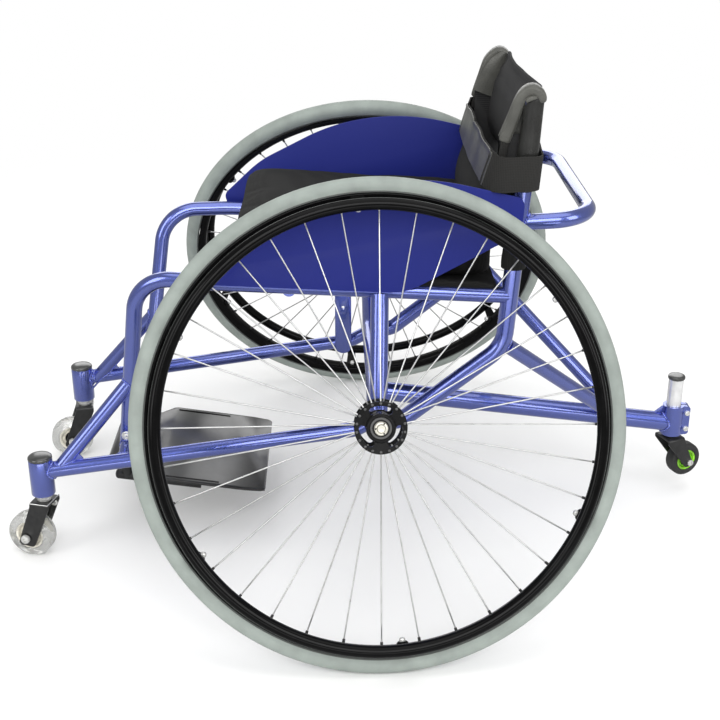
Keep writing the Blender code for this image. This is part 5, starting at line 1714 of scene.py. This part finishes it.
def make_elastic(side, label):
    """Elastic strap from the hood's strap down to the band."""
    drop = side_drop(side)
    direction = Vector((0, 0.12, 1)).normalized()
    strap = []
    for t in shares(8):
        centre = Vector((side * 0.1668, 0.1690 - 0.0050 * t, 0.6330 - drop - (0.0330 - drop) * t))
        strap.append(band_ring(centre, direction, 0.0055 * strap_width(side), 0.0012, side, 16))
    elastic = soft_piece(f"{label}_elastic", skin(strap), BAND_CLOTH)


def make_wing(side, label):
    """Leatherette wing between the strap and the post."""
    foot = 0.6200
    top = 0.6980 - side_drop(side)
    foot_drop = side_drop(side) * 0.3
    rows = []
    for t in shares(12):
        z = foot - foot_drop + (top - foot + foot_drop) * t
        front = 0.1600 + 0.0250 * t + 0.0165 * t**6
        row = []
        for s in shares(8):
            y = front + (post_y(z) - 0.0010 + 0.0100 * t**2 - front) * s
            lift = 0.0130 * (1 - t) * (1 - s)
            row.append(Vector((side * (0.1600 - 0.0030 * sin(pi * s)), y, z + lift)))
        rows.append(row)
    wing = soft_piece(f"{label}_wing", quilt(rows, -0.0022 * side), LEATHER_LIGHT)


def make_inner_mesh(side, label):
    """Mesh that closes the side between the strip and the post."""
    low = 0.5000
    high = 0.6360 - side_drop(side) * 0.3
    front = 0.1620
    rows = []
    for t in shares(8):
        z = low + (high - low) * t
        row = []
        for s in shares(6):
            y = front + (post_y(z) + 0.0136 - 0.0050 * t - front) * s
            row.append(Vector((side * (0.1620 + 0.0012 * sin(7 * t + 3 * s)), y, z)))
        rows.append(row)
    inner = soft_piece(f"{label}_inner_mesh", quilt(rows, -0.0018 * side), MESH_CLOTH)


# Height, and how far the sling's face stands behind the post's centre
SLING_TABLE = [
    (0.545, 0.008), (0.567, -0.006), (0.588, -0.0125), (0.613, -0.0115),
    (0.647, -0.0080), (0.672, -0.0010), (0.690, 0.0080),
]


def sling_offset(z):
    """How far the sling's front face stands from the post's centre near the posts."""
    if z <= SLING_TABLE[0][0]:
        return SLING_TABLE[0][1]
    for (z0, y0), (z1, y1) in zip(SLING_TABLE, SLING_TABLE[1:]):
        if z <= z1:
            t = (z - z0) / (z1 - z0)
            t = t * t * (3 - 2 * t)
            return y0 + (y1 - y0) * t
    return SLING_TABLE[-1][1]


def make_sling():
    """Spacer-mesh sheet between the posts, with a rounded top edge and a soft forward swell."""
    half = 0.1560
    low = 0.5500
    rings = []
    for x in spread(-half, half, 32):
        share = (x / half) ** 2
        face = []
        back = []
        high = 0.6985 - far_drop(x) + 0.001 * sin(x * 21)
        for t in shares(18):
            z = low + (high - low) * t
            away = (1 - share) * (0.006 * (1 - t) - 0.012 * t**3)
            front = post_y(z) + sling_offset(z + far_drop(x) * t) + away
            thick = 0.0085 - 0.0045 * t
            y = front + 0.0012 * noise.noise(Vector((x * 16, 2.0, z * 22)))
            face.append(Vector((x, y, z)))
            back.append(Vector((x, y + thick, z)))
        top = (face[-1] + back[-1]) / 2 + Vector((0, 0, 0.0022))
        rings.append(face + [top] + back[::-1])
    sling = soft_piece("back_sling", skin(rings), MESH_CLOTH, "back_upholstery")


def strip_line(x, z):
    """Front face of the light strip: nearly straight, with a shallow fold and soft waves."""
    y = front_y(z) - 0.0030
    y -= 0.0030 * (1 - (x / 0.165) ** 2)
    y += 0.0010 * noise.noise(Vector((x * 20, z * 26, 5.0)))
    return y


def strip_top(x):
    """Top edge of the strip: a soft wave with a small notch, lower towards the right."""
    top = 0.6105 + 0.0007 * sin(9 * x / STRIP_HALF) - 0.0030 * max(0.0, 1 - abs((x + 0.035) / 0.008))
    return top - 0.003 * max(0.0, (-x - 0.10) / 0.063)


def make_front_strip():
    """Light strip across the front of the back, with a small notch and a folded hem along its top, drawn in
    dark cloth as painted shade under the fold.
    """
    low = 0.5665
    columns = []
    hem = []
    for x in spread(-STRIP_HALF, STRIP_HALF, 66):
        top = strip_top(x)
        column = []
        for t in shares(14):
            z = low + (top - low) * t
            curl = 0.0015 * max(0.0, t - 0.85) / 0.15
            column.append(Vector((x, strip_line(x, z) - curl, z)))
        columns.append(column)
        hem.append(Vector((x, strip_line(x, top) - 0.0004, top - 0.0006)))
    strip = soft_piece("front_strip", quilt(columns, -0.0022), LEATHER_LIGHT)
    # The hem is dark cloth: a real hem, with painted shade under its fold.
    soft_piece("strip_hem_shade", rod(hem, 0.0016, 12), PANEL_CLOTH)


def make_front_panel():
    """Dark padded panel under the strip, swelling forward and tucked in at its foot."""
    rings = []
    half = 0.1620
    low = 0.4870
    high = 0.5720
    for x in spread(-half, half, 34):
        crown = 1 - abs(x / half) ** 3
        face = []
        back = []
        for t in shares(12):
            z = low + (high - low) * t
            belly = sin(pi * min(1.0, 0.12 + t * 0.80)) * 0.0120 * crown
            y = front_y(z) + 0.0095 - belly - 0.0030 * crown
            y += 0.0065 * (1 - t) ** 3
            y += 0.0012 * noise.noise(Vector((x * 20, z * 26, 9.0)))
            face.append(Vector((x, y, z)))
            back.append(Vector((x, front_y(z) + 0.0150 + 0.0040 * (1 - t) ** 3, z)))
        rings.append(face + back[::-1])
    panel = soft_piece("lumbar_panel", skin(rings), PANEL_CLOTH, "back_front_panel", smooth=1)


def make_band():
    """Webbing band that leaves the strip's ends, passes round both posts and across the rear."""
    reach = BACK_TUBE + 0.0036 + 0.0036
    lines = []
    for z in (0.5660, 0.5740, 0.5900, 0.6060, 0.6130):
        post = post_y(z)
        half = [Vector((0.1500, strip_line(0.15, z) - 0.0010, z)), Vector((0.1640, front_y(z) - 0.0018, z))]
        for share, away in ((0.42, 0.0012), (0.80, 0.0085), (0.96, 0.0200)):
            half.append(Vector((SIDE_X + reach * share, front_y(z) + away, z)))
        for a in [radians(degrees) for degrees in spread(82, 180, 8)]:
            half.append(Vector((SIDE_X + reach * sin(a), post - reach * cos(a), z)))
        for x in (0.150, 0.120, 0.090, 0.060, 0.030, 0.0):
            half.append(Vector((x, post + reach + 0.009 * (1 - (x / 0.165) ** 2), z)))
        line = half + [Vector((-p.x, p.y, p.z)) for p in half[-2::-1]]
        lines.append([p + Vector((0, 0, 0.0012 * sin(p.y * 90 + p.x * 14))) for p in line])
    band = soft_piece("elastic_band", quilt(lines, 0.0022), BAND_CLOTH, "back_band")


def cloth_line(z, outer_half):
    """A plan line mirrored to the right side at height z, with a little unevenness."""
    half = [Vector((x, y, z)) for x, y in outer_half]
    line = half + [Vector((-p.x, p.y, p.z)) for p in half[-2::-1]]
    return [p + Vector((0, 0.0010 * noise.noise(p * 30), 0)) for p in line]


def flap_line(post):
    """Plan of the cloth across the rear, from the left post to the middle."""
    return [(x, post + BACK_WRAP * 0.55 + 0.010 * (1 - (x / FLAP_HALF) ** 2)) for x in FLAP_STEPS]


def make_lower_flap():
    """Cloth behind the cushion, and its wrap round both posts at the foot."""
    flap_lines = []
    wrap_lines = []
    for z in spread(0.4875, 0.5640, 6):
        flap_lines.append(cloth_line(z, flap_line(post_y(z))))
    for k, z in enumerate(spread(0.4555, 0.4890, 4)):
        post = post_y(z)
        reach = BACK_WRAP + 0.0008 * sin(pi * k / 4)
        angles = [radians(degrees) for degrees in spread(-60, 190, 12)]
        outer = [(SIDE_X + reach * sin(a), post - reach * cos(a)) for a in angles]
        wrap_lines.append(cloth_line(z, outer + flap_line(post)))
    flap = soft_piece("lower_flap", quilt(flap_lines, 0.0020), FLAP_CLOTH)
    wrap = soft_piece("lower_wrap", quilt(wrap_lines, 0.0020), FLAP_CLOTH)


# Stage


def floor_finish():
    """Pale and dull, darker in reflections, and clear beyond the chair's surroundings."""
    material, tree, shader = new_material("floor_pale")
    paths = tree.nodes.new("ShaderNodeLightPath")
    tone = tree.nodes.new("ShaderNodeMix")
    tone.data_type = "RGBA"
    tree.links.new(paths.outputs["Is Glossy Ray"], tone.inputs[0])
    tree.links.new(ramp(tree, noise_value(tree, 3, 2.0), *FLOOR_TONES), tone.inputs[6])
    tone.inputs[7].default_value = FLOOR_IN_REFLECTIONS
    tree.links.new(tone.outputs[2], shader.inputs["Base Color"])
    set_sockets(shader, {"Roughness": 0.7, "Specular IOR Level": 0.15})
    distance = tree.nodes.new("ShaderNodeVectorMath")
    distance.operation = "LENGTH"
    tree.links.new(coordinates(tree), distance.inputs[0])
    fade = tree.nodes.new("ShaderNodeMapRange")
    fade.interpolation_type = "SMOOTHSTEP"
    set_sockets(fade, {"From Min": FLOOR_FADE[0], "From Max": FLOOR_FADE[1]})
    tree.links.new(distance.outputs["Value"], fade.inputs["Value"])
    clear = tree.nodes.new("ShaderNodeBsdfTransparent")
    mix = tree.nodes.new("ShaderNodeMixShader")
    for output, socket in zip((fade.outputs["Result"], shader.outputs[0], clear.outputs[0]), mix.inputs):
        tree.links.new(output, socket)
    tree.links.new(mix.outputs[0], tree.nodes["Material Output"].inputs["Surface"])
    return material


def make_stage():
    """Pale floor that fades into a white room and keeps the chair's shadow."""
    bm = bmesh.new()
    rings = []
    for radius in FLOOR_RINGS:
        rings.append([bm.verts.new((radius * cos(a), radius * sin(a), FLOOR_LEVEL)) for a in around(64)])
    for a, b in zip(rings, rings[1:]):
        for k in range(64):
            bm.faces.new((a[k], b[k], b[(k + 1) % 64], a[(k + 1) % 64]))
    bm.faces.new(rings[0])
    floor = linked("floor", mesh_of("floor", bm))
    floor.data.materials.append(floor_finish())


def make_world():
    """White for the camera and through clear plastic, and dimmer for surfaces and in reflections."""
    world = bpy.data.worlds.new("soft_room")
    bpy.context.scene.world = world
    world.use_nodes = True
    tree = world.node_tree
    background = tree.nodes["Background"]
    paths = tree.nodes.new("ShaderNodeLightPath")
    glossy = tree.nodes.new("ShaderNodeMapRange")
    glossy.inputs["To Min"].default_value = WORLD_DIFFUSE
    glossy.inputs["To Max"].default_value = WORLD_GLOSSY
    tree.links.new(paths.outputs["Is Glossy Ray"], glossy.inputs["Value"])
    seen = tree.nodes.new("ShaderNodeMath")
    seen.operation = "MAXIMUM"
    tree.links.new(paths.outputs["Is Camera Ray"], seen.inputs[0])
    tree.links.new(paths.outputs["Is Transmission Ray"], seen.inputs[1])
    strength = tree.nodes.new("ShaderNodeMix")
    strength.data_type = "FLOAT"
    tree.links.new(seen.outputs[0], strength.inputs[0])
    tree.links.new(glossy.outputs["Result"], strength.inputs[2])
    strength.inputs[3].default_value = 1.0
    background.inputs["Color"].default_value = (1, 1, 1, 1)
    tree.links.new(strength.outputs[0], background.inputs["Strength"])


def add_lamp(name, place, target, size, power):
    lamp = bpy.data.lights.new(name, "AREA")
    lamp.shape = "RECTANGLE"
    lamp.size = size[0]
    lamp.size_y = size[1]
    lamp.energy = power
    obj = linked(name, lamp)
    obj.location = place
    obj.rotation_euler = (Vector(target) - Vector(place)).to_track_quat("-Z", "Y").to_euler()
    obj.visible_camera = False


def make_lamps():
    """Large soft boxes overhead and round the camera, and a low fill in front of the near wheel."""
    add_lamp("front_wall", (2.9, 0.2, 2.2), (0, 0, 0.3), (2.8, 1.7), 54)
    add_lamp("overhead", (0.2, 0.1, 2.6), (0, 0, 0.2), (2.4, 2.4), 20)
    add_lamp("near_front", (1.5, -2.0, 1.4), (0, 0, 0.3), (1.0, 1.6), 16)
    add_lamp("near_rear", (1.4, 2.1, 1.4), (0, 0, 0.3), (1.0, 1.6), 16)
    add_lamp("far_wall", (-2.6, 0.0, 1.3), (0, 0, 0.3), (3.0, 1.2), 22)
    add_lamp("low_fill", (1.55, 0.0, 0.02), (0.3, 0, 0.45), (1.8, 0.35), 5)


def make_camera():
    camera = linked("camera", bpy.data.cameras.new("camera"))
    flat = cos(CAMERA_PITCH)
    forward = Vector((-flat * cos(CAMERA_YAW), flat * sin(CAMERA_YAW), -sin(CAMERA_PITCH)))
    level = forward.cross(Vector((0, 0, 1))).normalized()
    up = level.cross(forward)
    right = level * cos(CAMERA_ROLL) + up * sin(CAMERA_ROLL)
    top = -level * sin(CAMERA_ROLL) + up * cos(CAMERA_ROLL)
    matrix = Matrix((right, top, -forward)).transposed().to_4x4()
    matrix.translation = CAMERA_PLACE
    camera.matrix_world = matrix
    camera.data.sensor_width = 36.0
    camera.data.sensor_fit = "HORIZONTAL"
    camera.data.lens = CAMERA_LENS
    camera.data.shift_x = CAMERA_SHIFT
    bpy.context.scene.camera = camera


def main():
    finish_nodes()
    make_axle_carrier()
    make_rear_boom()
    make_push_bar()
    make_seat_tube()
    make_side_strut()
    make_antitip()
    make_footplate()
    for side, label in SIDES:
        make_side_tubes(side, label)
        make_tyre(side, label)
        make_rim(side, label)
        make_handrim(side, label)
        make_hub(side, label)
        make_bearings(side, label)
        make_axle(side, label)
        make_front_caster(side, label)
        make_guard(side, label)
        make_hanger(side, label)
        make_post_roll(side, label)
        make_hood(side, label)
        make_hood_fold(side, label)
        make_hood_stitches(side, label)
        make_elastic(side, label)
        make_wing(side, label)
        make_inner_mesh(side, label)
    make_seat_sling()
    for side, label in SIDES:
        make_rail_roll(side, label)
    make_cushion()
    make_sling()
    make_front_strip()
    make_front_panel()
    make_band()
    make_lower_flap()
    make_stage()
    make_world()
    make_lamps()
    make_camera()
    bpy.context.scene.view_settings.view_transform = "Standard"


main()
